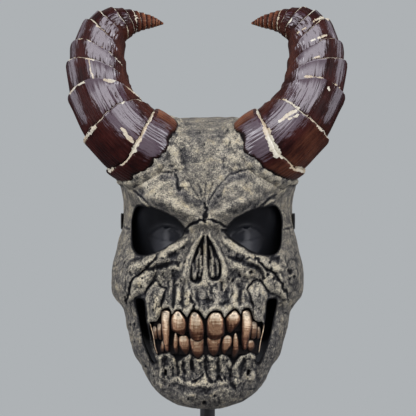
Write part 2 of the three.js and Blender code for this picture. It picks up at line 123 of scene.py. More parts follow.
# Points of the unit circle at those angles and heights.
def onCircle(angle, height=0.0):
    return np.stack([np.cos(angle), np.sin(angle), height + 0 * angle], -1)


# Random values from -1 to 1 at the corners of cells of that size, eased between the corners.
def noise(points, cell, seed):
    table = np.random.default_rng(seed).uniform(-1, 1, (noiseCells, noiseCells, noiseCells))
    place = points / cell + noiseStart
    low = np.floor(place).astype(int)
    t = place - low
    t = t * t * (3 - 2 * t)
    total = 0
    for corner in range(8):
        step = np.array([corner & 1, corner >> 1 & 1, corner >> 2 & 1])
        at = (low + step) % noiseCells
        total = total + table[at[..., 0], at[..., 1], at[..., 2]] * np.prod(np.where(step, t, 1 - t), axis=-1)
    return total


# Distance from each (x, z) to a chain of straight pieces, negative inside a closed one, and how far
# along the chain the nearest place lies, from 0 to 1.
def lineDistance(x, z, line, closed=False):
    ends = np.roll(line, -1, axis=0) if closed else line[1:]
    starts = line if closed else line[:-1]
    run = ends - starts
    dx, dz = x[:, None] - starts[:, 0], z[:, None] - starts[:, 1]
    along = np.clip((dx * run[:, 0] + dz * run[:, 1]) / (run**2).sum(1), 0, 1)
    away = np.hypot(dx - along * run[:, 0], dz - along * run[:, 1])
    best = away.argmin(1)
    every = np.arange(len(x))
    far = away[every, best]
    share = (best + along[every, best]) / len(starts)
    if closed:
        crossed = (starts[:, 1] > z[:, None]) != (ends[:, 1] > z[:, None])
        at = starts[:, 0] + dz / np.where(run[:, 1] == 0, 1e-9, run[:, 1]) * run[:, 0]
        inside = (crossed & (x[:, None] < at)).sum(1) % 2 == 1
        far = np.where(inside, -far, far)
    return far, share


# Which places lie within reach of the line's own box.
def near(x, z, line, reach):
    low, high = line.min(0) - reach, line.max(0) + reach
    return (x > low[0]) & (x < high[0]) & (z > low[1]) & (z < high[1])


# Averages each value of a grid with its neighbours, in shares of 1, 2 and 1, that many times.
def soften(field, times):
    for _ in range(times):
        wide = np.pad(field, ((0, 0), (1, 1)), mode="edge")
        field = (wide[:, :-2] + 2 * field + wide[:, 2:]) / 4
        tall = np.pad(field, ((1, 1), (0, 0)), mode="edge")
        field = (tall[:-2] + 2 * field + tall[2:]) / 4
    return field


# Meshes


# Points in mask millimetres become a mesh in metres, at the origin.
def makeMesh(name, points, faces, material):
    mesh = bpy.data.meshes.new(name)
    placed = np.asarray(points, float).reshape(-1, 3).copy()
    placed[:, 2] += chinHeight
    mesh.vertices.add(len(placed))
    mesh.vertices.foreach_set("co", (placed * 0.001).ravel())
    sizes = np.concatenate([np.full(len(f), f.shape[1]) for f in faces])
    mesh.loops.add(int(sizes.sum()))
    mesh.loops.foreach_set("vertex_index", np.concatenate([f.ravel() for f in faces]).astype(np.int32))
    mesh.polygons.add(len(sizes))
    mesh.polygons.foreach_set("loop_start", (np.cumsum(sizes) - sizes).astype(np.int32))
    mesh.update(calc_edges=True)
    mesh.validate()
    mesh.shade_smooth()
    made = bpy.data.objects.new(name, mesh)
    scene.collection.objects.link(made)
    if material:
        mesh.materials.append(material)
    return made


# Quads between the rings of a closed tube, and fans to the two poles kept after the rings.
def tubeFaces(rows, columns):
    ring = np.arange(columns)
    after = (ring + 1) % columns
    low = (np.arange(rows - 1) * columns)[:, None]
    quads = np.stack([low + ring, low + after, low + columns + after, low + columns + ring], -1)
    start, end, last = rows * columns, rows * columns + 1, (rows - 1) * columns
    fans = np.vstack([
        np.stack([np.full(columns, start), after, ring], -1),
        np.stack([np.full(columns, end), last + ring, last + after], -1),
    ])
    return quads.reshape(-1, 4), fans


# A closed body between rings of points (rows, columns, 3), drawn together at both ends.
def tube(name, rings, startPoint, endPoint, material=None):
    rows, columns = rings.shape[:2]
    points = np.vstack([rings.reshape(-1, 3), startPoint, endPoint])
    return faceOut(makeMesh(name, points, tubeFaces(rows, columns), material))


# Turns a closed mesh's faces round where its signed volume comes out below nothing.
def faceOut(made):
    mesh = made.data
    mesh.calc_loop_triangles()
    at = np.empty(len(mesh.vertices) * 3)
    mesh.vertices.foreach_get("co", at)
    corners = np.empty(len(mesh.loop_triangles) * 3, np.int32)
    mesh.loop_triangles.foreach_get("vertices", corners)
    a, b, c = at.reshape(-1, 3)[corners.reshape(-1, 3)].transpose(1, 0, 2)
    if (a * np.cross(b, c)).sum() < 0:
        mesh.flip_normals()
    return made


# Values for a tube's grid of points as one list, with 0 for its two poles.
def withPoles(grid):
    flat = grid.reshape(grid.shape[0] * grid.shape[1], -1)
    return np.vstack([flat, np.zeros((2, flat.shape[1]))]).squeeze()


# Stores one value or a vector for each point.
def setField(made, name, values):
    kind, slot = ("FLOAT", "value") if values.ndim == 1 else ("FLOAT_VECTOR", "vector")
    field = made.data.attributes.new(name, kind, "POINT")
    field.data.foreach_set(slot, values.astype(np.float32).ravel())


# Stores two values for each point as a map, which keeps its values where a cut adds new points.
def setMap(made, name, first, second):
    mesh = made.data
    corner = np.empty(len(mesh.loops), np.int32)
    mesh.loops.foreach_get("vertex_index", corner)
    pairs = np.stack([np.broadcast_to(v, len(mesh.vertices)) for v in (first, second)], -1)
    mesh.uv_layers.new(name=name).data.foreach_set("uv", pairs[corner].astype(np.float32).ravel())


# Joins solids to a piece or takes them out of it, in the order given, and removes those solids.
def shapeBy(made, steps):
    for operation, other in steps:
        change = made.modifiers.new("shape", "BOOLEAN")
        change.operation, change.solver, change.object = operation, "MANIFOLD", other
    mesh = bpy.data.meshes.new_from_object(made.evaluated_get(bpy.context.evaluated_depsgraph_get()))
    made.modifiers.clear()
    old, made.data = made.data, mesh
    bpy.data.meshes.remove(old)
    mesh.name = made.name
    for _, other in steps:
        bpy.data.objects.remove(other)


# Edges sharper than that many degrees stay sharp; then the piece is put under its body and the CAD nodes it
# stands for are hidden.
def finishPiece(made, slot, *replaced, sharp=50):
    made.data.set_sharp_from_angle(angle=math.radians(sharp))
    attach(made, "root")
    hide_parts(*replaced)
    print(made.name, len(made.data.polygons), "faces")


# Material helpers


# Adds a node: values go to its inputs as numbers or as links, settings to the node itself.
def put(tree, kind, values=None, **settings):
    made = tree.nodes.new(kind)
    for key, value in settings.items():
        setattr(made, key, value)
    for key, value in (values or {}).items():
        if isinstance(value, bpy.types.NodeSocket):
            tree.links.new(value, made.inputs[key])
        else:
            made.inputs[key].default_value = value
    return made


def maths(tree, operation, first, second=0.5, third=0.0, clamp=False):
    made = put(tree, "ShaderNodeMath", {0: first, 1: second, 2: third}, operation=operation, use_clamp=clamp)
    return made.outputs[0]


# value x factor + added
def scaled(tree, value, factor, added=0.0, clamp=False):
    return maths(tree, "MULTIPLY_ADD", value, factor, added, clamp)


# The value moved from low..high to 0..1, eased.
def between(tree, value, low, high):
    return put(tree, "ShaderNodeMapRange", {"Value": value, "From Min": low, "From Max": high},
               interpolation_type="SMOOTHSTEP").outputs[0]


# One colour over another by a share; plain colours are given as red, green and blue.
def blendColours(tree, share, first, second, kind="MIX"):
    first, second = ((*given, 1) if isinstance(given, tuple) else given for given in (first, second))
    made = put(tree, "ShaderNodeMix", {0: share, 6: first, 7: second}, data_type="RGBA", blend_type=kind)
    return made.outputs[2]


def ramp(tree, share, stops):
    made = put(tree, "ShaderNodeValToRGB", {0: share})
    elements = made.color_ramp.elements
    while len(elements) < len(stops):
        elements.new(0.5)
    for element, (at, colour) in zip(elements, stops):
        element.position, element.color = at, (*colour, 1)
    return made.outputs[0]


# A shader node group that takes a vector and named numbers with defaults, and gives named numbers.
def newGroup(name, inputs, outputs):
    tree = bpy.data.node_groups.new(name, "ShaderNodeTree")
    tree.interface.new_socket("Vector", in_out="INPUT", socket_type="NodeSocketVector")
    for key, default in inputs.items():
        made = tree.interface.new_socket(key, in_out="INPUT", socket_type="NodeSocketFloat")
        made.default_value = default
    for key in outputs:
        tree.interface.new_socket(key, in_out="OUTPUT", socket_type="NodeSocketFloat")
    return tree, tree.nodes.new("NodeGroupInput").outputs


def noiseNode(tree, place, scale, **values):
    return put(tree, "ShaderNodeTexNoise", {"Vector": place, "Scale": scale, **values}).outputs["Fac"]


# Patches of two sizes: a level round 0.5, a mask between two thresholds, and the broad patches alone.
def mottleGroup():
    tree, given = newGroup("mottle", {"Scale": 400.0, "Low": 0.42, "High": 0.6}, ("Mask", "Level", "Broad"))
    fine = noiseNode(tree, given["Vector"], given["Scale"], Detail=5.0, Roughness=0.66, Distortion=0.3)
    broad = noiseNode(tree, given["Vector"], scaled(tree, given["Scale"], 0.16), Detail=3.0)
    level = maths(tree, "SUBTRACT", scaled(tree, broad, 0.3, fine), 0.15)
    mask = between(tree, level, given["Low"], given["High"])
    put(tree, "NodeGroupOutput", {"Mask": mask, "Level": level, "Broad": broad})
    return tree


# Long streaks: noise on a vector that the material squeezes along the grain, and finer scratches.
def streakGroup():
    tree, given = newGroup("streaks", {"Scale": 1.0}, ("Streaks", "Scratches"))
    broad = noiseNode(tree, given["Vector"], given["Scale"], Detail=4.0, Roughness=0.6)
    fine = noiseNode(tree, given["Vector"], scaled(tree, given["Scale"], 4.3), Detail=3.0, Roughness=0.7)
    put(tree, "NodeGroupOutput", {"Streaks": broad, "Scratches": fine})
    return tree


mottle = mottleGroup()
streaks = streakGroup()


def newMaterial(name):
    made = bpy.data.materials.new(name)
    made.use_nodes = True
    made.node_tree.nodes.clear()
    return made, made.node_tree


def surface(tree, values):
    shader = put(tree, "ShaderNodeBsdfPrincipled", values)
    put(tree, "ShaderNodeOutputMaterial", {"Surface": shader.outputs[0]})


def bumped(tree, height, strength, distance):
    values = {"Height": height, "Strength": strength, "Distance": distance}
    return put(tree, "ShaderNodeBump", values).outputs[0]


def mottled(tree, place, scale, low=0.35, high=0.7):
    values = {"Vector": place, "Scale": scale, "Low": low, "High": high}
    return put(tree, "ShaderNodeGroup", values, node_tree=mottle).outputs


def streaked(tree, place, scale):
    return put(tree, "ShaderNodeGroup", {"Vector": place, "Scale": scale}, node_tree=streaks).outputs


def objectPlace(tree):
    return put(tree, "ShaderNodeTexCoord").outputs["Object"]


# The three parts of a vector, of a stored field or of a map.
def partsOf(tree, vector):
    return put(tree, "ShaderNodeSeparateXYZ", {0: vector}).outputs


def fieldOf(tree, name, output="Vector"):
    return put(tree, "ShaderNodeAttribute", attribute_name=name).outputs[output]


def mapOf(tree, name):
    return put(tree, "ShaderNodeUVMap", uv_map=name).outputs[0]


# The mask's broad surface: its outline from the front, its middle line from the side, its open back edge
halfWidth = byHeight([
    (0, 0), (16, 1), (34, 6), (45.5, 13), (52.7, 20), (58, 27.5), (61.3, 34), (66, 43), (72, 50.5),
    (76.2, 64.8), (80.5, 80.3), (83.4, 95), (88.5, 102), (94.5, 110), (96.3, 124), (95.5, 138), (92, 152),
    (89.3, 165), (86, 177), (85, 191), (85.5, 206), (88.5, 218), (90, 236), (86, 256), (74, 271), (56, 281),
    (32, 286.6), (0, maskTop)])
frontPoints = [
    (-40, 0), (-62, 0.6), (-78, 4), (-88, 12), (-92, 24), (-91, 38), (-92, 52), (-95, 70), (-96, 92),
    (-93, 118), (-89, 145), (-86, 168), (-87, 192), (-88, 215), (-86, 235), (-78, 255), (-62, 271),
    (-38, 281.5), (-6, 286.6), (38, maskTop)]
frontLine = byHeight(frontPoints)
backLine = byHeight([
    (-40, 0), (-31, 20), (-15, 50), (1, 88), (13, 136), (23, 184), (31, 232), (36.5, 272), (38, maskTop)])
sideRoundness, frontRoundness = 2.3, 2.1  # powers of the plan curve across and from front to back
rimFade = (4, 32)  # the relief fades out between these distances from the back edge

swellings = [  # x, z, half across, half up, tilt, height; both sides alike
    (42, 208, 40, 24, 8, 6), (80, 131, 30, 26, 0, 9), (56, 144, 34, 12, -12, 6), (0, 84, 62, 46, 0, 6),
    (0, 20, 36, 20, 0, 6), (40, 124, 22, 17, 0, -7), (66, 94, 17, 34, -8, -7), (82, 205, 26, 30, 0, -8)]
broadRidges = [  # from, to, half width, height
    ((9, 186), (62, 206), 18, 13), ((0, 182), (0, 166), 12, 5), ((5, 168), (19, 131), 9, 6)]
eyeOpening = smoothLine([
    (20.5, 173.5), (23.5, 179), (29, 185.5), (38.5, 190.8), (47.5, 194.7), (57.5, 197), (68, 197.8),
    (71.8, 192.5), (74, 183), (73.5, 173), (72.8, 163), (71, 156), (67, 151.5), (60, 150.4), (51, 152.3),
    (43, 155.6), (35.5, 160.5), (28, 165.5), (22.5, 170)], 90, True)
jawSlot = smoothLine([
    (68.2, 107.7), (65.5, 87.6), (61.6, 69.3), (56.4, 55.7), (51, 45.8), (49, 47.4), (52, 58.9),
    (54.9, 76.3), (58.2, 89.8), (60.5, 107.2)], 60, True)


# Sum of rounded swellings h(1 - u^2/a^2 - v^2/b^2)^2, ridges h(1 - d^2/w^2)^2 along lines, and the
# slope that drops into the eye opening.
def broadRelief(xSigned, z, eyeSlope=10.0):
    x = np.abs(xSigned)
    height = np.zeros_like(x)
    for sx, sz, across, up, tilt, tall in swellings:
        c, s = math.cos(math.radians(tilt)), math.sin(math.radians(tilt))
        u, v = (x - sx) * c + (z - sz) * s, (z - sz) * c - (x - sx) * s
        height += tall * fade((u / across) ** 2 + (v / up) ** 2)
    for start, end, half, tall in broadRidges:
        height += tall * fade((lineDistance(x, z, np.array([start, end], float))[0] / half) ** 2)
    close = near(x, z, eyeOpening, 10)
    toEye = np.clip(lineDistance(x[close], z[close], eyeOpening, True)[0], 0, None)
    height[close] -= eyeSlope * fade(toEye / 9)
    return height


# x = w(z) sign(s)|s|^(2/p), y = back(z) - depth(z)|c|^(2/q) - relief, with s and c the sine and
# cosine of the turn round the face; the relief fades out towards the back edge.
def skinPoints(turn, z, inset, reliefAt):
    x = np.clip(halfWidth(z) - inset, 0, None) * signedPower(np.sin(turn), 2 / sideRoundness)
    depth = np.clip(backLine(z) - frontLine(z) - inset, 0, None)
    depth = depth * np.abs(np.cos(turn)) ** (2 / frontRoundness)
    relief = reliefAt(x.ravel(), z.ravel()).reshape(x.shape)
    return np.stack([x, backLine(z) - depth - ease(*rimFade, depth) * relief, z], -1)


# Depth of the face at a place in the front view.
def faceY(x, z, reliefAt=broadRelief):
    share = np.clip(np.abs(x) / halfWidth(z), 0, 1)
    return skinPoints(np.arcsin(share ** (sideRoundness / 2)) * np.sign(x), z, 0, reliefAt)[..., 1]


mouthMiddle = 74.0
mouthDepth = 10.0
archX = np.linspace(-70, 70, 141)
archY = faceY(archX, np.full(141, mouthMiddle)) + mouthDepth


# Depth of the mouth's floor: the face at the mouth's middle height, moved back.
def mouthFloor(x):
    return np.interp(x, archX, archY)


# Horns: the centre line and what is measured along it
hornLine = np.array([  # right horn: x, y, z, radius, from inside the forehead to the tip
    (42, -26, 238, 31), (50, -39, 246, 38), (59, -49, 254, 40), (71.5, -54, 262, 38.5), (89, -54, 280, 34),
    (102, -48, 303, 30.5), (106, -43, 318, 29.5), (108, -37, 335, 28.5), (107, -31, 350.5, 26.5),
    (101, -25, 368, 23.4), (94, -21, 375.5, 20), (84, -17, 379, 16.4), (77, -14, 381, 13),
    (67, -11, 382, 9.6), (53.6, -8, 381.5, 5.5), (43.7, -6, 380.3, 0.8)], float)


# Centre, radius, direction and the two cross directions at places counted in line points; the front
# direction is carried along the line.
def hornFrames(places):
    guided = steered(hornLine)
    centre = curveAt(guided[:, :3], places)
    radius = curveAt(guided[:, [3, 3]], places)[:, 0]
    along = np.gradient(centre, axis=0)
    along /= np.linalg.norm(along, axis=1)[:, None]
    front = np.empty_like(along)
    held = np.array([0.0, -1.0, 0.0])
    for row, direction in enumerate(along):
        held = held - held.dot(direction) * direction
        held /= np.linalg.norm(held)
        front[row] = held
    return centre, radius, along, front, np.cross(along, front)


hornPlaces = np.linspace(0, 15, 601)
hornCentre, hornRadius, hornAlong, hornFront, hornSide = hornFrames(hornPlaces)
hornPace = np.gradient(lengthAlong(hornCentre), hornPlaces)  # millimetres in one place
boneEnds = {  # degrees round the horn from its front, outer side first, and the place where the bone ends
    1: ((-180, 2.2), (-130, 1.85), (-87, 1.62), (-59, 1.93), (-42, 2.18), (-33, 2.15), (-24, 2.02),
        (-14, 2.05), (-6, 2.18), (6, 2.25), (14, 2.25), (24, 2.4), (45, 2.53), (81, 2.68), (110, 2.72),
        (145, 2.5)),
    -1: ((-180, 2.2), (-130, 1.9), (-90, 1.73), (-59, 1.93), (-48, 2.05), (-36, 2.12), (-29, 2.02),
         (-18, 2.05), (-6, 2.12), (-3, 2.25), (9, 2.18), (21, 2.27), (33, 2.5), (48, 2.35), (75, 2.62),
         (110, 2.7), (145, 2.5))}


# Points on a horn: centre + radius (front cos a + side sin a), at a place along it and an angle a.
def onHorn(side, places, angle, radius):
    flat = places.ravel()
    centre, front, across = (
        np.stack([np.interp(flat, hornPlaces, table[:, k]) for k in range(3)], -1).reshape(*places.shape, 3)
        for table in (hornCentre, hornFront, hornSide))
    out = front * np.cos(angle)[..., None] + across * np.sin(angle)[..., None]
    return (centre + radius[..., None] * out) * np.array([side, 1, 1])


# A point on a horn's centre line.
def hornMiddle(side, place):
    return onHorn(side, np.array(place), np.array(0.0), np.array(0.0))


def radiusAt(places):
    return np.interp(places, hornPlaces, hornRadius)


def paceAt(places):
    return np.interp(places, hornPlaces, hornPace)


# Value at an angle round the horn, from (degrees, value) pairs.
def roundTable(degrees, table):
    spots, values = zip(*table)
    return np.interp(degrees, spots, values, period=360)


# For points near the horns: place along the horn, angle round it and distance from its axis. The place
# is the one whose cross plane comes nearest, with a small share of the distance to tell turns apart.
def hornPlace(points):
    right = points.copy()
    right[:, 0] = np.abs(right[:, 0])
    few = slice(0, 240, 4)  # every fourth place in the lower horn
    gap = right[:, None] - hornCentre[few]
    height = np.abs((gap * hornAlong[few]).sum(-1)) + 0.15 * np.linalg.norm(gap, axis=-1)
    best = height.argmin(1) * 4
    gap = right - hornCentre[best]
    gap -= (gap * hornAlong[best]).sum(-1, keepdims=True) * hornAlong[best]
    angle = np.degrees(np.arctan2((gap * hornSide[best]).sum(-1), (gap * hornFront[best]).sum(-1)))
    return hornPlaces[best], angle, np.linalg.norm(gap, axis=1)


# Bone: the carved skin
boneValues = dict(
    columns=244, rows=330, sleeveColumns=132, sleeveRows=52,
    lumps=((24, 1.4), (10, 0.8), (5, 0.45), (2.6, 0.30)), lumpShare=0.62, roughLow=0.9,
    creases=((11, 1.0), (6, 0.7)), creaseDepth=0.6, creaseWash=0.34, fibres=0.7, pits=190, pitDepth=1.4,
    bends=((1.0, 5), (0.5, 2.2)),  # how far drawn lines waver, and over what length
    nostrilDepth=7.0, foldHeight=1.2, turbinateHeight=4.6, turbinateHalf=2.4, gumRim=1.5,
    sleeve=2.0, sleeveLump=1.7, sleeveStart=0.6, fillet=5.0, filletWidth=13.0, spike=3.2,
    shade=[(0, -0.10), (35, -0.17), (58, -0.17), (95, -0.05), (150, -0.05), (200, 0.01), (230, 0.04),
           (288, 0.03)],  # (height, how much lighter the bone is made there: a painted shade that darkens the lower face)
    grain=800.0, fineGrain=2200.0, patches=85.0, bump=0.7, bumpDistance=0.0016, roughness=0.5,
    paints=[(0.0, (0.0025, 0.0025, 0.003)), (0.14, (0.011, 0.011, 0.012)), (0.34, (0.054, 0.051, 0.046)),
            (0.55, (0.130, 0.119, 0.097)), (0.76, (0.24, 0.217, 0.164)), (1.0, (0.42, 0.38, 0.28))],
    bluish=(0.80, 0.87, 1.15), ochre=(1.04, 0.95, 0.74))
plates = [  # raised plates: outline, height, width of the edge, rounded or soft, and dry brushing
    dict(height=7.5, edge=15, soft=True, dryBrushAndHighlight=0.26, at=[
        (-63.3, 214.5), (-62.4, 221.2), (-50.9, 226.5), (-37.5, 228.9), (-29.8, 227.5), (-25, 217.4),
        (-22.1, 211.6), (-14.5, 205.9), (-4.9, 201.6), (-1.5, 197.8), (-1.6, 189.6), (-7.8, 182.4),
        (-16.4, 179.1), (-24, 184.3), (-33.6, 190.6), (-45.1, 196.8), (-55.7, 200.1), (-63.3, 206.9)]),
    dict(height=7.5, edge=15, soft=True, dryBrushAndHighlight=-0.1, at=[
        (1.4, 190.6), (2.3, 195.4), (7.6, 202.1), (12.3, 214.5), (20, 224.1), (27.7, 228.9), (41.1, 230.8),
        (52.6, 231.3), (62.2, 227.9), (67.9, 221.2), (70.8, 213.6), (66, 205.9), (56.4, 199.2),
        (46.8, 194.9), (33.4, 189.1), (20, 182.4), (10.4, 184.3)]),
    dict(height=3.6, edge=5, dryBrushAndHighlight=0.22, at=[
        (-48, 145.3), (-57.4, 137), (-64.3, 130.5), (-70.9, 125), (-73.3, 118), (-76, 109.5),
        (-77.8, 103.8), (-72, 107.2), (-65.7, 111), (-59.4, 113.8), (-55.5, 119), (-51.6, 126.7),
        (-47.6, 136.5)]),
    dict(height=3.6, edge=5, dryBrushAndHighlight=0.1, at=[
        (49.3, 144.8), (58, 137), (67.2, 131), (72, 123), (77, 114.6), (79.5, 106.6), (74, 108.4),
        (69.5, 112.4), (62.3, 114.6), (58.5, 120), (53.6, 127.8), (49.8, 136.6)]),
    dict(height=3, edge=4.5, dryBrushAndHighlight=0.16, at=[
        (-47.7, 125.8), (-42.8, 120), (-38.3, 117.8), (-39, 113.6), (-42, 108), (-43.4, 102), (-46.4, 91.4),
        (-53.6, 88), (-57.3, 93.6), (-59, 104.3), (-57.4, 114.2), (-54.5, 120.5)]),
    dict(height=3, edge=4.5, dryBrushAndHighlight=0.2, at=[
        (48.4, 126.8), (43, 121), (41, 117.4), (44, 110.8), (46, 102), (47.9, 91.4), (52.7, 88.2),
        (57.5, 94.7), (60, 104.4), (59.4, 114.2), (56.5, 121)])]
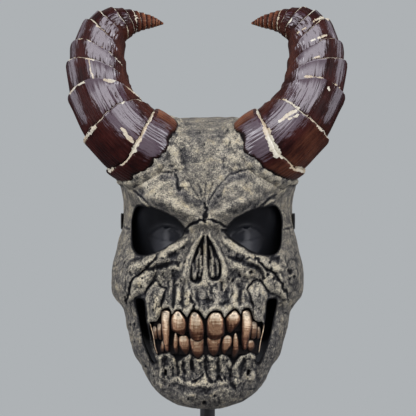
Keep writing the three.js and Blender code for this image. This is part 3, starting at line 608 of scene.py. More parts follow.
strokes = [  # grooves and ridges along lines: half width, height, black wash, dry brushing, zigzag; in a few lines the black is a painted shade and the dry brushing a painted highlight
    dict(half=2.4, height=-2.4, washAndShade=0.4, lines=[[(-29, 229), (-27.4, 226), (-26, 217.4), (-23.5, 212.5)]]),
    dict(half=1.7, height=-1.2, washAndShade=0.22, lines=[
        [(1.4, 196.3), (5.2, 206), (10.4, 214), (18.9, 223.7), (24.8, 228.6), (31, 230.6), (43.3, 232.4),
         (53, 232.4)]]),
    # Black at the eyes' inner corners: a painted shade that carries the openings on.
    dict(half=3.2, height=-3, washAndShade=1, lines=[[(-21, 172.8), (-16.5, 174)], [(21, 173.5), (17, 174.6)]]),
    dict(half=2.2, height=-2.8, washAndShade=1, jagged=0.8, lines=[
        [(0.2, 184.8), (-4.8, 185), (-10.4, 181.4), (-17.3, 178), (-20.5, 174)],
        [(0.5, 184.8), (6.9, 185), (12.6, 182.3), (18.2, 179.5), (23.8, 176)]]),
    dict(half=2.0, height=-2.2, washAndShade=0.45, lines=[
        [(-68.1, 213.6), (-62.4, 206.4), (-54.7, 198.2)], [(66.5, 209.2), (60.2, 204), (54, 197.8)]]),
    dict(half=2, height=-1.6, washAndShade=0.25, lines=[
        [(-86.4, 180), (-81.5, 177), (-76.7, 175.6)], [(76.7, 175.6), (81.3, 176.5), (86, 179)],
        [(-62.7, 217.6), (-57.7, 224), (-47.8, 227.9), (-38, 229.6), (-29, 230)],
        [(53, 232.2), (60.4, 229.7), (67.2, 225), (75.2, 219.4)]]),
    dict(half=1.9, height=-3.2, washAndShade=1, jagged=1.3, lines=[
        [(-0.1, 203), (-0.8, 199), (1.3, 195.8), (-0.7, 192.5), (1.1, 189), (-0.4, 185.3), (0.3, 181.5)],
        [(-46.6, 152.5), (-48.4, 145.6), (-54, 141), (-58, 137.4), (-61, 135), (-65.3, 130), (-69, 128.5),
         (-72, 125.3), (-73, 121), (-74.5, 117), (-75.5, 112), (-78.5, 107), (-79.5, 102)],
        [(47.3, 152.5), (49.6, 146.8), (54, 142), (59, 137.5), (64, 135), (68, 131.4), (70, 127), (74, 122),
         (75, 118), (78.5, 113.5), (80.8, 105)],
        [(-14.2, 113), (-12.3, 108.8), (-10.5, 104.6), (-10, 100.8)]]),
    dict(half=1.6, height=-2.0, washAndShade=0.72, lines=[
        [(-58, 114), (-55.7, 118.6), (-52.2, 123.3), (-47.5, 125.8), (-42.8, 120.4), (-37.8, 118.8),
         (-39, 114.2), (-41.8, 108.4), (-43, 103.4), (-41.5, 98)],
        [(46.5, 96), (45, 107.3), (42.6, 114.3), (40.7, 118.6), (45, 124.6), (48.4, 127.4), (54.2, 124),
         (58.5, 120)], [(30.5, 251.4), (31.5, 254.8), (36.3, 256.7)]]),
    dict(half=4.2, height=-3.8, washAndShade=0.65, lines=[
        [(-56.7, 136.9), (-45.1, 139.8), (-33.6, 142.6), (-24, 143.6)],
        [(22.9, 149.4), (33.4, 145.6), (41.1, 142.2), (49.7, 138.8), (57.4, 128.3)]]),
    dict(half=3.1, height=-2.6, washAndShade=0.42, lines=[
        [(-22.3, 98), (-22, 110), (-21.5, 120.6)], [(-31.4, 99), (-30.2, 110), (-28.8, 122)],
        [(20, 118), (21, 103.4)], [(33.4, 122), (32.5, 103.4)], [(3, 100), (3.6, 110)],
        [(-10.8, 96), (-10.5, 103)], [(-44.2, 100), (-40.5, 112)], [(-38.5, 54), (-37.5, 44)],
        [(-26.7, 50), (-26, 43.6), (-26.5, 35)], [(-20.2, 50.5), (-21.2, 43.7), (-19.7, 36)],
        [(-11.8, 53.6), (-12.3, 46.8), (-11, 40)], [(0.3, 57.4), (0.8, 48.8), (1, 39)],
        [(12.9, 53.6), (12.4, 44.8), (12.7, 31.6)], [(26.4, 47.5), (24, 39), (25, 28.4), (29.8, 21)],
        [(38, 52), (36, 42), (34, 33)]]),
    dict(half=1.9, height=-2.4, washAndShade=0.9, lines=[
        [(1, 39), (3.2, 34), (8.3, 29)], [(-2.4, 38), (-3.6, 34.4), (-7, 31.8), (-12.3, 30)],
        [(13, 36), (17, 30)]]),
    dict(half=1.4, height=-0.8, washAndShade=0.08, lines=[
        [(-14.5, 220.3), (-8.7, 210.7), (-2, 199)], [(-7.3, 222), (-4, 211.7), (-1, 201)],
        [(8.6, 221), (4.7, 211.7), (1.4, 201)], [(0.9, 225), (0, 213.6), (0, 204)]]),
    dict(half=2.2, height=-6, washAndShade=1, lines=[
        [(-38.9, 40.6), (-38.6, 38), (-38.2, 35)], [(40.9, 40), (40.8, 37.4), (40.6, 34.6)]]),
    dict(half=4.8, height=3.4, dryBrushAndHighlight=0.45, lines=[
        [(-17.5, 166.5), (-26.3, 159.7), (-36, 154), (-44.7, 149)],
        [(18, 166.5), (26.7, 159.7), (36.3, 154.4), (44, 150)]]),
    dict(half=7.5, height=3.2, dryBrushAndHighlight=0.2, lines=[
        [(-75.5, 136.2), (-62.4, 141.7), (-49.9, 149)], [(49.3, 149), (60.2, 143.6), (72.5, 136.2)]]),
    dict(half=2.1, height=2.8, dryBrushAndHighlight=0.4, lines=[
        [(-2.8, 173.3), (-5.3, 167.5), (-10.5, 160), (-15, 150.3), (-18.3, 140.7), (-19.3, 134),
         (-17.5, 126.3)],
        [(3.4, 173.3), (5.7, 167.5), (11, 160), (15, 151.3), (18.8, 140.7), (20.4, 134), (19, 127.4)],
        [(0.3, 160), (0.2, 148.3), (0.2, 136)]]),
    dict(half=2.2, height=2.6, dryBrushAndHighlight=0.75, lines=[
        [(-65.3, 206.6), (-60, 201.5), (-54.2, 196.3)], [(66.5, 204.6), (56.4, 198)]]),
    dict(half=6.5, height=3.2, dryBrushAndHighlight=0.3, lines=[[(-19.3, 216), (-19.3, 222)], [(-30, 254), (-24, 232)]]),
    # A painted highlight on the upper left of the left brow.
    dict(half=8, height=0.6, dryBrushAndHighlight=0.35, lines=[[(-58, 214), (-50, 219), (-40, 222)]]),
    dict(half=12, height=3.4, dryBrushAndHighlight=0.3, lines=[[(-31, 262), (-29, 265)], [(22, 262), (34, 263)]]),
    # Painted highlights on the brightly lit left shoulder of the upper jaw.
    dict(half=6, height=2.4, dryBrushAndHighlight=0.5, lines=[[(-45, 128), (-42, 124)], [(-68, 128), (-58, 122)]]),
    dict(half=17, height=1.2, dryBrushAndHighlight=0.2, lines=[[(-33, 248), (-20, 262)], [(14, 246), (20, 262)]]),
    dict(half=11, height=1.4, dryBrushAndHighlight=0.25, lines=[
        [(-22, 16), (-8, 12)], [(8, 14), (24, 20)], [(-52, 38), (-44, 24)]]),
    dict(half=9, height=2.4, dryBrushAndHighlight=0.12, lines=[[(-31.7, 250), (-27, 238)], [(30, 246), (22, 234)]]),
    dict(half=4.5, height=2.5, dryBrushAndHighlight=0.16, lines=[
        [(-31.7, 125.4), (-35.2, 112.9), (-37, 102.4)], [(-25.4, 126.3), (-25.4, 112.9), (-27.9, 103.4)],
        [(-15.4, 116.9), (-15.9, 104.4), (-17, 96)], [(9.5, 118.7), (11.4, 107.2), (11, 98.6)],
        [(26.7, 124.4), (28.2, 112.9), (28.6, 102)], [(38.2, 118.7), (39.2, 107.2), (39.6, 101)]]),
    dict(half=4, height=2.2, dryBrushAndHighlight=0.14, lines=[
        [(-13.5, 111), (-7, 98.7)], [(-44.3, 55), (-42.1, 40.1)], [(-31.8, 55), (-31, 41)],
        [(-23.5, 53.9), (-22.9, 40.1)], [(-16.7, 55), (-15.6, 35.9)], [(-7, 52.7), (-7.1, 38)],
        [(6.8, 55), (6.8, 40.1)], [(18.6, 54.9), (18.1, 38)], [(31.4, 52), (30.2, 32)],
        [(-36.3, 50), (-34.3, 33)], [(44, 54), (41.5, 43)]]),
    dict(half=5, height=4, dryBrushAndHighlight=0.55, lines=[[(0, 138), (0.2, 130), (0, 121)]]),
    dict(half=8, height=-3.2, washAndShade=0.3, lines=[
        [(1, 110), (1, 104)], [(-24, 134), (-30, 128)], [(25, 135), (31, 130)]]),
    dict(half=7, height=-3.4, washAndShade=0.35, lines=[
        [(-36, 148), (-27, 152)], [(38, 147), (29, 151)], [(-70, 146), (-60, 148)],
        [(62, 147), (72, 145)]]),
    dict(half=4, height=2.2, dryBrushAndHighlight=0.3, lines=[
        [(-36, 29), (-26, 30.5), (-17.7, 28.9), (-4.9, 26.8)],
        [(4, 27.3), (14.4, 28), (25.8, 30), (36.3, 28.5)], [(-43.2, 40.8), (-42.7, 34), (-37.5, 30.2)],
        [(45.2, 40), (45.4, 34), (42.2, 30)]]),
    dict(half=5.5, height=3.6, dryBrushAndHighlight=0.85, lines=[[(0.4, 35.5), (0.6, 28.5)], [(-3.5, 27.6), (5, 27.6)]]),
    dict(half=5.5, height=2.6, dryBrushAndHighlight=0.3, lines=[
        [(-56.6, 128.5), (-55.6, 128)], [(-43.7, 130.5), (-42.7, 130)], [(38, 132), (43.5, 132)]]),
    dict(half=1.5, height=1.2, dryBrushAndHighlight=0.85, lines=[
        [(69.8, 134), (75.6, 126.4)], [(68.9, 118.7), (77.5, 111)], [(-66, 118), (-75.5, 110)],
        [(-24, 163), (-36, 158)], [(24, 163.5), (38, 156.5)]]),
    dict(half=4, height=3, dryBrushAndHighlight=0.4, lines=[[(-74, 223.6), (-86, 224)], [(76, 222), (87, 223)]])]
nostrils = [
    [(-1.4, 169.5), (-4, 165.5), (-8, 157.8), (-11, 149.4), (-13.4, 140.7), (-14.4, 132.8), (-13, 126.3),
     (-8.6, 124.4), (-4.8, 125), (-2.6, 131), (-2.4, 140.7), (-1.9, 152.2), (-1.3, 160.8)],
    [(1.9, 169.5), (4.3, 166.6), (8.2, 160), (11.6, 152.3), (14.7, 143.6), (16, 136), (14.4, 128.8),
     (10.6, 126.4), (5.6, 127.5), (3.2, 133), (2.6, 142.6), (2.1, 154), (1.7, 162.7)]]
turbinates = [  # ridges inside the nostrils
    [(-4.8, 156.8), (-6.6, 148.2), (-8, 138.6), (-8.8, 130)], [(-3.3, 150), (-4.2, 142.3), (-4.9, 131)],
    [(4.8, 158.8), (6.8, 148.2), (8, 138.6), (8.4, 131)], [(10.6, 147), (11.8, 140), (12, 132)],
    [(-11, 142), (-11.4, 134), (-9.6, 128)], [(5.4, 146), (5.4, 136), (6.6, 130)]]
mouthOutline = [
    (-54, 85), (-50.5, 86.4), (-47, 87), (-44.5, 91), (-42.5, 95.8), (-40, 99), (-36, 100), (-33.2, 97.6),
    (-32, 94.2), (-29, 97.7), (-25.7, 98.8), (-22.3, 97.3), (-18.9, 93.8), (-17.3, 91.7), (-15, 95.5),
    (-11.6, 99.4), (-7.4, 99), (-3.5, 95.6), (0.6, 90.4), (3, 94.7), (6.7, 97.3), (11.7, 98.4), (16, 96.7),
    (18.8, 91.2), (21.5, 95), (25, 98), (28.8, 99.7), (32, 97.7), (34.4, 94.2), (36.4, 98.7), (40.2, 100.5),
    (43.6, 97.8), (45.3, 93.4), (47, 88.6), (50.8, 86.4), (53.5, 86.5), (55, 84), (54.5, 70), (52.2, 56.8),
    (51.2, 54.3), (48.8, 54), (44, 57), (39.2, 55.5), (34.4, 54.3), (30.6, 50.3), (26.8, 45.6),
    (24.4, 50.5), (21, 54.7), (16.3, 56.2), (12, 53.6), (7.7, 54.2), (3.8, 55.8), (0.7, 58), (-2.8, 55),
    (-6.6, 52.7), (-11, 54), (-14.4, 56.7), (-18.2, 54.5), (-22, 51.5), (-26.4, 49), (-30, 53), (-34, 57),
    (-39, 56), (-43.2, 55.6), (-46, 54), (-51.6, 68)]
chosenPits = [  # x, z, radius
    (-33.6, 254, 2.4), (-0.7, 8.4, 3), (-54.7, 136.9, 1.7), (-49.9, 136.9, 1.7), (-28.8, 154.6, 1.8),
    (-29.8, 125.4, 1.9), (-26.4, 122.5, 1.6), (55.5, 128.3, 2), (60.2, 132.1, 2.2), (66, 128.3, 2),
    (82.3, 134, 2.8), (86.1, 129.2, 1.7), (81.8, 127.3, 1.7), (33, 131.5, 2.2), (27, 126.5, 1.8),
    (44, 134, 2.2), (-26, 141, 1.7), (-20.5, 158.5, 1.6), (23, 155, 1.7), (-9, 31, 1.8), (12, 33, 2),
    (19, 33.5, 1.7), (-27, 72, 1.2)]


# What the carving works on: places in the front view, the same places bent by noise so that drawn lines
# waver, how unbroken a line is there, and what comes out: height forward, black wash, dry brushing.
def blankFace(x, z):
    flat = np.stack([x, z, 0 * x], -1)
    (wide, wideCell), (small, smallCell) = boneValues["bends"]
    return SimpleNamespace(
        x=x, z=z, flat=flat, whole=0.72 + 0.55 * noise(flat, 6, 7),
        bentX=x + wide * noise(flat, wideCell, 3) + small * noise(flat, smallCell, 5),
        bentZ=z + wide * noise(flat, wideCell, 4) + small * noise(flat, smallCell, 6),
        height=np.zeros_like(x), washAndShade=np.zeros_like(x), dryBrushAndHighlight=np.zeros_like(x))


# Winding creases where smooth noise changes sign, and upright fibres on the roots of the teeth.
def carveGrain(face):
    lower = ease(170, 135, face.z) * 0.75 + 0.25
    bent = np.stack([face.bentX, 0.62 * face.bentZ, 0 * face.x], -1)
    for cell, share in boneValues["creases"]:
        crease = fade(np.abs(noise(bent, cell, 60 + cell)) / 0.13) * lower * share
        crease *= ease(-0.35, 0.25, noise(face.flat, 17, 61 + cell))
        face.height -= boneValues["creaseDepth"] * crease
        face.washAndShade = np.maximum(face.washAndShade, boneValues["creaseWash"] * crease)
    roots = ease(97, 104, face.z) * ease(136, 122, face.z) + ease(22, 32, face.z) * ease(59, 53, face.z)
    roots *= ease(58, 46, np.abs(face.x))
    fibres = noise(np.stack([face.bentX, 0.2 * face.bentZ, 0 * face.x], -1), 2.3, 71)
    fibres = fibres + 0.7 * noise(bent * [1, 0.5, 1], 4.5, 72)
    face.height += boneValues["fibres"] * fibres * roots
    face.washAndShade = np.maximum(face.washAndShade, 0.5 * roots * ease(-0.3, -0.9, fibres))


# Plates stand at their full height inside an edge that is a quarter round, or eased where it is soft.
def carvePlates(face):
    for plate in plates:
        outline = smoothLine(plate["at"], 5 * len(plate["at"]), True)
        pick = near(face.x, face.z, outline, 3)
        inside = -lineDistance(face.bentX[pick], face.bentZ[pick], outline, True)[0]
        share = inside / plate["edge"]
        rise = ease(0, 1, share) if plate.get("soft") else quarterRound(share)
        face.height[pick] += plate["height"] * rise
        face.dryBrushAndHighlight[pick] += plate["dryBrushAndHighlight"] * ease(1, 6, inside)


# Each line adds h(1 - d^2/w^2)^2 at distance d, half as wide and as high at its ends. A black groove
# has a little dry brushing on the bone beside it.
def carveStrokes(face):
    for stroke in strokes:
        black = stroke.get("washAndShade", 0)
        for points in stroke["lines"]:
            line = smoothLine(points, 5 * len(points))
            pick = near(face.x, face.z, line, 1.6 * stroke["half"] + 3)
            whole = face.whole[pick]
            jag = stroke.get("jagged", 0) * noise(face.flat[pick], 2.4, 8)
            away, share = lineDistance(face.bentX[pick] + jag, face.bentZ[pick] + 0.7 * jag, line)
            ends = ease(0, 0.12, share) * ease(0, 0.12, 1 - share) * 0.5 + 0.5
            half = stroke["half"] * ends
            shape = fade((away / half) ** 2)
            face.height[pick] += stroke["height"] * shape * ends * (0.45 + 0.55 * np.clip(whole, 0, 1.3))
            face.dryBrushAndHighlight[pick] += stroke.get("dryBrushAndHighlight", 0) * shape
            soaked = black * np.clip(whole + 0.15, 0.3, 1) * fade((away / (0.8 * half)) ** 2)
            face.washAndShade[pick] = np.maximum(face.washAndShade[pick], soaked)
            face.dryBrushAndHighlight[pick] += 0.14 * black * fade(((away - 1.5 * half) / half) ** 2)


# Deep black nostrils with upright folds inside, and the turbinates as thin ridges in them. The black is
# heaviest at the top and the turbinates are lighter low down: a painted shade from the light above.
def carveNose(face):
    for points in nostrils:
        outline = smoothLine(points, 60, True)
        pick = near(face.x, face.z, outline, 4)
        x, z = face.x[pick], face.z[pick]
        inside = -lineDistance(x, z, outline, True)[0]
        folds = noise(np.stack([x, 0.14 * z, 0 * x], -1), 1.7, 73)
        face.height[pick] -= boneValues["nostrilDepth"] * ease(-1.0, 0.8, inside)
        face.height[pick] += boneValues["foldHeight"] * folds * ease(0, 1.5, inside)
        # Painted shade: the black is heaviest at the top of the nostril and lighter low down.
        black = 0.92 - 0.62 * ease(164, 136, z) * ease(0.2, 1.6, inside) - 0.35 * np.clip(folds, 0, 1)
        face.washAndShade[pick] = np.maximum(face.washAndShade[pick], black * ease(-0.3, 0.8, inside))
    for points in turbinates:
        line = smoothLine(points, 16)
        pick = near(face.x, face.z, line, 2)
        away = lineDistance(face.bentX[pick], face.z[pick], line)[0]
        shape = fade((away / boneValues["turbinateHalf"]) ** 2)
        face.height[pick] += boneValues["turbinateHeight"] * shape
        face.washAndShade[pick] -= 0.62 * shape
        # Painted light: the turbinates are lighter low down.
        face.dryBrushAndHighlight[pick] += 0.3 * shape * ease(164, 140, face.z[pick])


# The gums' swollen rim and the distance from the mouth, negative inside it, then the black edges round
# the eyes and the slots beside the jaw.
def carveEdges(face):
    outline = smoothLine(mouthOutline, 4 * len(mouthOutline), True)
    face.mouth = np.full_like(face.x, 99.0)
    pick = near(face.x, face.z, outline, 8)
    face.mouth[pick] = lineDistance(face.x[pick], face.z[pick], outline, True)[0]
    face.height += boneValues["gumRim"] * fade(((face.mouth - 3) / 2.6) ** 2)
    face.dryBrushAndHighlight += 0.2 * fade(((face.mouth - 2.6) / 2.0) ** 2)
    face.washAndShade = np.maximum(face.washAndShade, ease(0.7, -0.4, face.mouth))
    for side in (1, -1):
        for opening, reach in ((eyeOpening, 2.0), (jawSlot, 2.6)):
            pick = near(side * face.x, face.z, opening, 8)
            away = lineDistance(side * face.x[pick], face.z[pick], opening, True)[0]
            face.washAndShade[pick] = np.maximum(face.washAndShade[pick], ease(reach, 0.2, away))
            face.height[pick] -= 0.8 * fade(np.clip(away, 0, None) / 1.8)


# All the fine carving seen from the front.
def carve(x, z):
    face = blankFace(x, z)
    for step in (carveGrain, carvePlates, carveStrokes, carveNose, carveEdges):
        step(face)
    return face


# Small round pits, thicker on the cheeks and jaw: depth (1 - d^2/r^2)^2.
def pitField(x, z):
    rng = np.random.default_rng(11)
    count = boneValues["pits"]
    px = rng.uniform(-84, 84, count)
    pz = np.where(rng.random(count) < 0.82, rng.uniform(10, 150, count), rng.uniform(150, 276, count))
    size = rng.uniform(0.7, 1.6, count) ** 1.3 * np.where(pz > 150, 0.8, 1)
    deep, dark = np.zeros_like(x), np.zeros_like(x)
    for cx, cz, radius in [*zip(px, pz, size), *chosenPits]:
        pick = np.flatnonzero((np.abs(x - cx) < radius * 1.5) & (np.abs(z - cz) < radius * 1.5))
        shape = fade(((x[pick] - cx) ** 2 + 0.6 * (z[pick] - cz) ** 2) / radius**2)
        deep[pick] += shape * boneValues["pitDepth"] * min(radius / 1.6, 1.6)
        dark[pick] = np.maximum(dark[pick], (1.1 if cz < 150 else 0.7) * shape)
    return deep, np.clip(dark, 0, 1)


# Lumps of four sizes that stand along the normal, the small ones stronger low on the face.
def lumpField(points, share=1.0):
    rough = 1 + boneValues["roughLow"] * ease(155, 95, points[..., 2])
    share = share * boneValues["lumpShare"]
    return sum(tall * share * noise(points, cell, 20 + k) * (rough if cell < 8 else 1)
               for k, (cell, tall) in enumerate(boneValues["lumps"]))


# What the brush does, with a painted shade: high places beside low ones catch the dry brush, low ones
# keep the black wash, wide hollows take a bluish painted shade. The differences are between the relief
# and its softened copies.
def brushAndShade(relief, washAndShade, dryBrushAndHighlight):
    middle = relief - soften(relief, 22)
    small = relief - soften(relief, 3)
    wide = relief - soften(relief, 110)
    dryBrushAndHighlight = dryBrushAndHighlight + 0.30 * np.clip(middle / 1.3, 0, 1.2) + 0.35 * np.clip(small / 0.28, -0.3, 1)
    washAndShade = np.maximum(washAndShade, 0.42 * np.clip((-middle - 0.2) / 1.6, 0, 1)) + 0.22 * np.clip(-small / 0.3, 0, 1)
    return np.clip(washAndShade, 0, 1), np.clip(dryBrushAndHighlight, -0.3, 1.3), np.clip(-wide / 2.6, 0, 1)


# Painted shade by height: the lower face is made darker than the brow and forehead.
def boneShade(z):
    heights, shades = zip(*boneValues["shade"])
    return np.interp(z, heights, shades)


# Heights evenly spaced along the middle line, closer where the carving is.
def arcRows(count, finer):
    line = smoothLine(frontPoints, 900)
    carved = (line[1:, 1] > 20) & (line[1:, 1] < 240)
    length = lengthAlong(line, np.where(carved, finer, 1))
    return np.interp(np.arange(1, count + 1) / (count + 1) * length[-1], length, line[:, 1])


# Turns round the face evenly spaced along a middling plan curve, closer at the front.
def arcColumns(count, finer):
    halfAcross, deep, frontHalf = 92, 112, 62
    turn = np.linspace(-math.pi / 2, math.pi / 2, 4001)
    x = halfAcross * signedPower(np.sin(turn), 2 / sideRoundness)
    y = deep * np.abs(np.cos(turn)) ** (2 / frontRoundness)
    length = lengthAlong(np.stack([x, y], -1), np.where(np.abs(x[1:]) < frontHalf, finer, 1))
    return np.interp(np.linspace(0, length[-1], count + 1), length, turn)


# Unit cross product of the two grid directions.
def gridNormals(points):
    normal = np.cross(np.gradient(points, axis=1), np.gradient(points, axis=0))
    return normal / np.maximum(np.linalg.norm(normal, axis=-1, keepdims=True), 1e-9)


# The lining follows the broad relief, and makes room for the wearer behind the nose and the mouth.
def liningRelief(x, z):
    behindNose = 16 * fade((x / 34) ** 2 + ((z - 146) / 42) ** 2)
    behindMouth = 12 * ease(42, 26, np.abs(z - mouthMiddle)) * ease(66, 50, np.abs(x))
    return np.minimum(broadRelief(x, z), 6) - np.minimum(behindNose + behindMouth, 14) - 1


# The room inside the mask: the base surface moved in, carried out past the back edge.
def liningBody(inset):
    rows = np.clip(arcRows(60, 1.2), inset, maskTop - inset) + np.linspace(-0.01, 0.01, 60)
    grid = skinPoints(*np.meshgrid(arcColumns(60, 1), rows), inset, liningRelief)
    back = grid[:, [-1, 0]] + np.array([0, 60.0, 0])
    poles = [(0, backLine(rows[k]) + 30, rows[k] + side) for k, side in ((0, -0.02), (-1, 0.02))]
    return tube("lining", np.concatenate([grid, back], axis=1), *poles)


# A bar with that outline in the front view, from one depth to another.
def bar(outline, fromY, toY, side):
    x, z = side * outline[:, 0], outline[:, 1]
    rings = np.stack([np.stack([x, np.full_like(x, y), z], -1) for y in (fromY, toY)])
    return tube("bar", rings, *[(x.mean(), y, z.mean()) for y in (fromY, toY)])


# The bone that climbs over a horn's base: radius of the horn + a lumpy thickness, its end rounded
# down into the horn over the last few millimetres before the wavy seam.
def boneSleeve(side, seed):
    angle = around(boneValues["sleeveColumns"] // coarser, -math.pi)
    circle = onCircle(angle)
    scallop = 0.07 * noise(circle * 4 + seed, 1.0, 51) + 0.05 * noise(circle * 11 + seed, 1.0, 52)
    ends = roundTable(np.degrees(angle), boneEnds[side]) + scallop
    closing = 0.8 + 0.2 * np.sin(np.linspace(0.06, 1, 18) * math.pi / 2)  # rows close up at the seam
    share = np.concatenate([np.linspace(0, 0.8, boneValues["sleeveRows"] // coarser - 18), closing])
    start, sunk = boneValues["sleeveStart"], 2.6
    places = start + (ends - start) * share[:, None]
    turn = np.broadcast_to(angle, places.shape)
    toSeam = (ends - places) * paceAt(places)
    bare = onHorn(side, places, turn, radiusAt(places))
    lump = boneValues["sleeveLump"] * (0.5 + 0.5 * noise(bare, 8, 33)) + 0.7 * noise(bare, 4, 34)
    lump = lump + lumpField(bare, 0.5)
    thick = boneValues["sleeve"] + lump
    rings = onHorn(side, places, turn, radiusAt(places) - sunk + (thick + sunk) * quarterRound(toSeam / 3.4))
    made = tube("sleeve", rings, hornMiddle(side, start), hornMiddle(side, 1.9))
    rim = fade(((toSeam - 3.2) / 3) ** 2)
    # Black at the seam: a painted shade in the crevice where the bone meets the horn.
    washAndShade, dryBrushAndHighlight, hollowShade = brushAndShade(lump * 1.6, ease(0.9, 0.1, toSeam), 0.35 * rim + 0.12)
    setMap(made, "paint", withPoles(washAndShade), withPoles(dryBrushAndHighlight))
    setMap(made, "tone", withPoles(hollowShade), withPoles(boneShade(rings[..., 2])))
    return made


# How far the skin swells up to meet the bone sleeves, by its distance from them.
def sleeveFillet(points):
    lift = np.zeros(len(points))
    pick = np.flatnonzero((points[:, 2] > 186) & (np.abs(points[:, 0]) > 6))
    place, angle, away = hornPlace(points[pick])
    end = np.where(points[pick, 0] > 0, roundTable(angle, boneEnds[1]), roundTable(angle, boneEnds[-1]))
    gap = np.clip(away - radiusAt(place) - boneValues["sleeve"], 0, None)
    lift[pick] = boneValues["fillet"] * fade(gap / boneValues["filletWidth"]) * ease(0.35, -0.1, place - end)
    return lift


# The carved skin as a closed body: relief along the normal and forward, the mouth pressed back to its
# floor, the sleeves joined on, the room inside and the four openings taken out.
def skullMask(material):
    rows = arcRows(boneValues["rows"] // coarser, 1.3)
    turn = arcColumns(boneValues["columns"] // coarser, 1.35)
    base = skinPoints(*np.meshgrid(turn, rows), 0, lambda x, z: broadRelief(x, z, 7.0))
    shape = base.shape[:2]
    normal = gridNormals(base).reshape(-1, 3)
    flat = base.reshape(-1, 3)
    x, z = flat[:, 0], flat[:, 2]
    depth = backLine(z) - flat[:, 1]
    rim, facing = ease(3, 14, depth), ease(8, 40, depth)
    deep, dark = pitField(x, z)
    face = carve(x, z)
    spike = boneValues["spike"] * fade(((np.abs(x) - 87) / 7) ** 2 + ((z - 223) / 5) ** 2)  # at the temples
    alongNormal = (lumpField(flat) - deep * facing + sleeveFillet(flat) + spike) * rim
    moved = flat + normal * alongNormal[:, None]
    moved[:, 1] -= face.height * facing
    inside = ease(0.6, -1.0, face.mouth)
    moved[:, 1] = moved[:, 1] * (1 - inside) + mouthFloor(moved[:, 0]) * inside
    relief = (alongNormal + face.height * facing - 4 * inside).reshape(shape)
    washAndShade = np.maximum(face.washAndShade * facing, dark * facing).reshape(shape)
    washAndShade, dryBrushAndHighlight, hollowShade = brushAndShade(relief, washAndShade, (face.dryBrushAndHighlight * facing).reshape(shape))
    washAndShade = np.maximum(washAndShade, ease(0.6, -0.6, face.mouth).reshape(shape))
    print("bone relief worked out")

    poles = [(0, backLine(end), end) for end in (0.0, maskTop)]
    made = tube("skullMask", moved.reshape(*shape, 3), *poles, material)
    setMap(made, "paint", withPoles(washAndShade), withPoles(dryBrushAndHighlight))
    setMap(made, "tone", withPoles(hollowShade), withPoles(boneShade(z).reshape(shape)))
    sleeves = [boneSleeve(1, 3.3), boneSleeve(-1, 8.1)]
    cutters = [liningBody(wall), *[bar(o, -140, -5, side) for side in (1, -1) for o in (eyeOpening, jawSlot)]]
    for cutter in cutters:  # cut walls and the inside are painted black: a painted shade
        setMap(cutter, "paint", 1.0, 0.0)
        setMap(cutter, "tone", 0.0, 0.0)
    shapeBy(made, [("UNION", s) for s in sleeves] + [("DIFFERENCE", c) for c in cutters])
    return made


# Bone paint with painted light in it: a level from the speckle, the wash, the dry brush and a painted shade
# by height, read as colours from black to cream; the wash carries painted shade in places and the dry brush
# a few painted highlights. Bluish in broad patches and, as a painted shade, in the wide hollows; a little
# ochre in broad patches.
def boneMaterial():
    made, tree = newMaterial("agedBone")
    place = objectPlace(tree)
    washAndShade, dryBrushAndHighlight, _ = partsOf(tree, mapOf(tree, "paint"))
    hollowShade, shade, _ = partsOf(tree, mapOf(tree, "tone"))
    grain = mottled(tree, place, boneValues["grain"], 0.36, 0.66)
    speck = mottled(tree, place, boneValues["fineGrain"], 0.38, 0.64)
    patch = mottled(tree, place, boneValues["patches"], 0.36, 0.64)
    level = scaled(tree, grain["Mask"], 0.45, 0.11)
    level = scaled(tree, speck["Mask"], 0.34, level)
    level = scaled(tree, patch["Mask"], 0.24, maths(tree, "SUBTRACT", level, 0.075))
    level = maths(tree, "ADD", level, shade)
    brushed = scaled(tree, dryBrushAndHighlight, scaled(tree, grain["Mask"], 0.42, 0.16))
    soaked = scaled(tree, washAndShade, scaled(tree, speck["Mask"], -0.25, 0.95))
    level = maths(tree, "SUBTRACT", maths(tree, "ADD", level, brushed), soaked, clamp=True)
    colour = ramp(tree, level, boneValues["paints"])
    # Bluish in broad patches, and a bluish painted shade in the wide hollows.
    blue = maths(tree, "MAXIMUM", scaled(tree, patch["Broad"], 0.9, -0.4), 0.0)
    blue = scaled(tree, hollowShade, 0.45, blue)
    colour = blendColours(tree, blue, colour, boneValues["bluish"], "MULTIPLY")
    warmer = scaled(tree, between(tree, patch["Level"], 0.52, 0.7), 0.55)
    colour = blendColours(tree, warmer, colour, boneValues["ochre"], "MULTIPLY")
    height = scaled(tree, speck["Level"], 0.4, grain["Level"])
    rough = scaled(tree, grain["Mask"], 0.16, boneValues["roughness"])
    rough = scaled(tree, washAndShade, 0.4, rough, clamp=True)
    normal = bumped(tree, height, boneValues["bump"], boneValues["bumpDistance"])
    surface(tree, {"Base Color": colour, "Roughness": rough, "Normal": normal, "Specular IOR Level": 0.15})
    return made


finishPiece(skullMask(boneMaterial()), "aged_bone", "skull_mask", sharp=55)

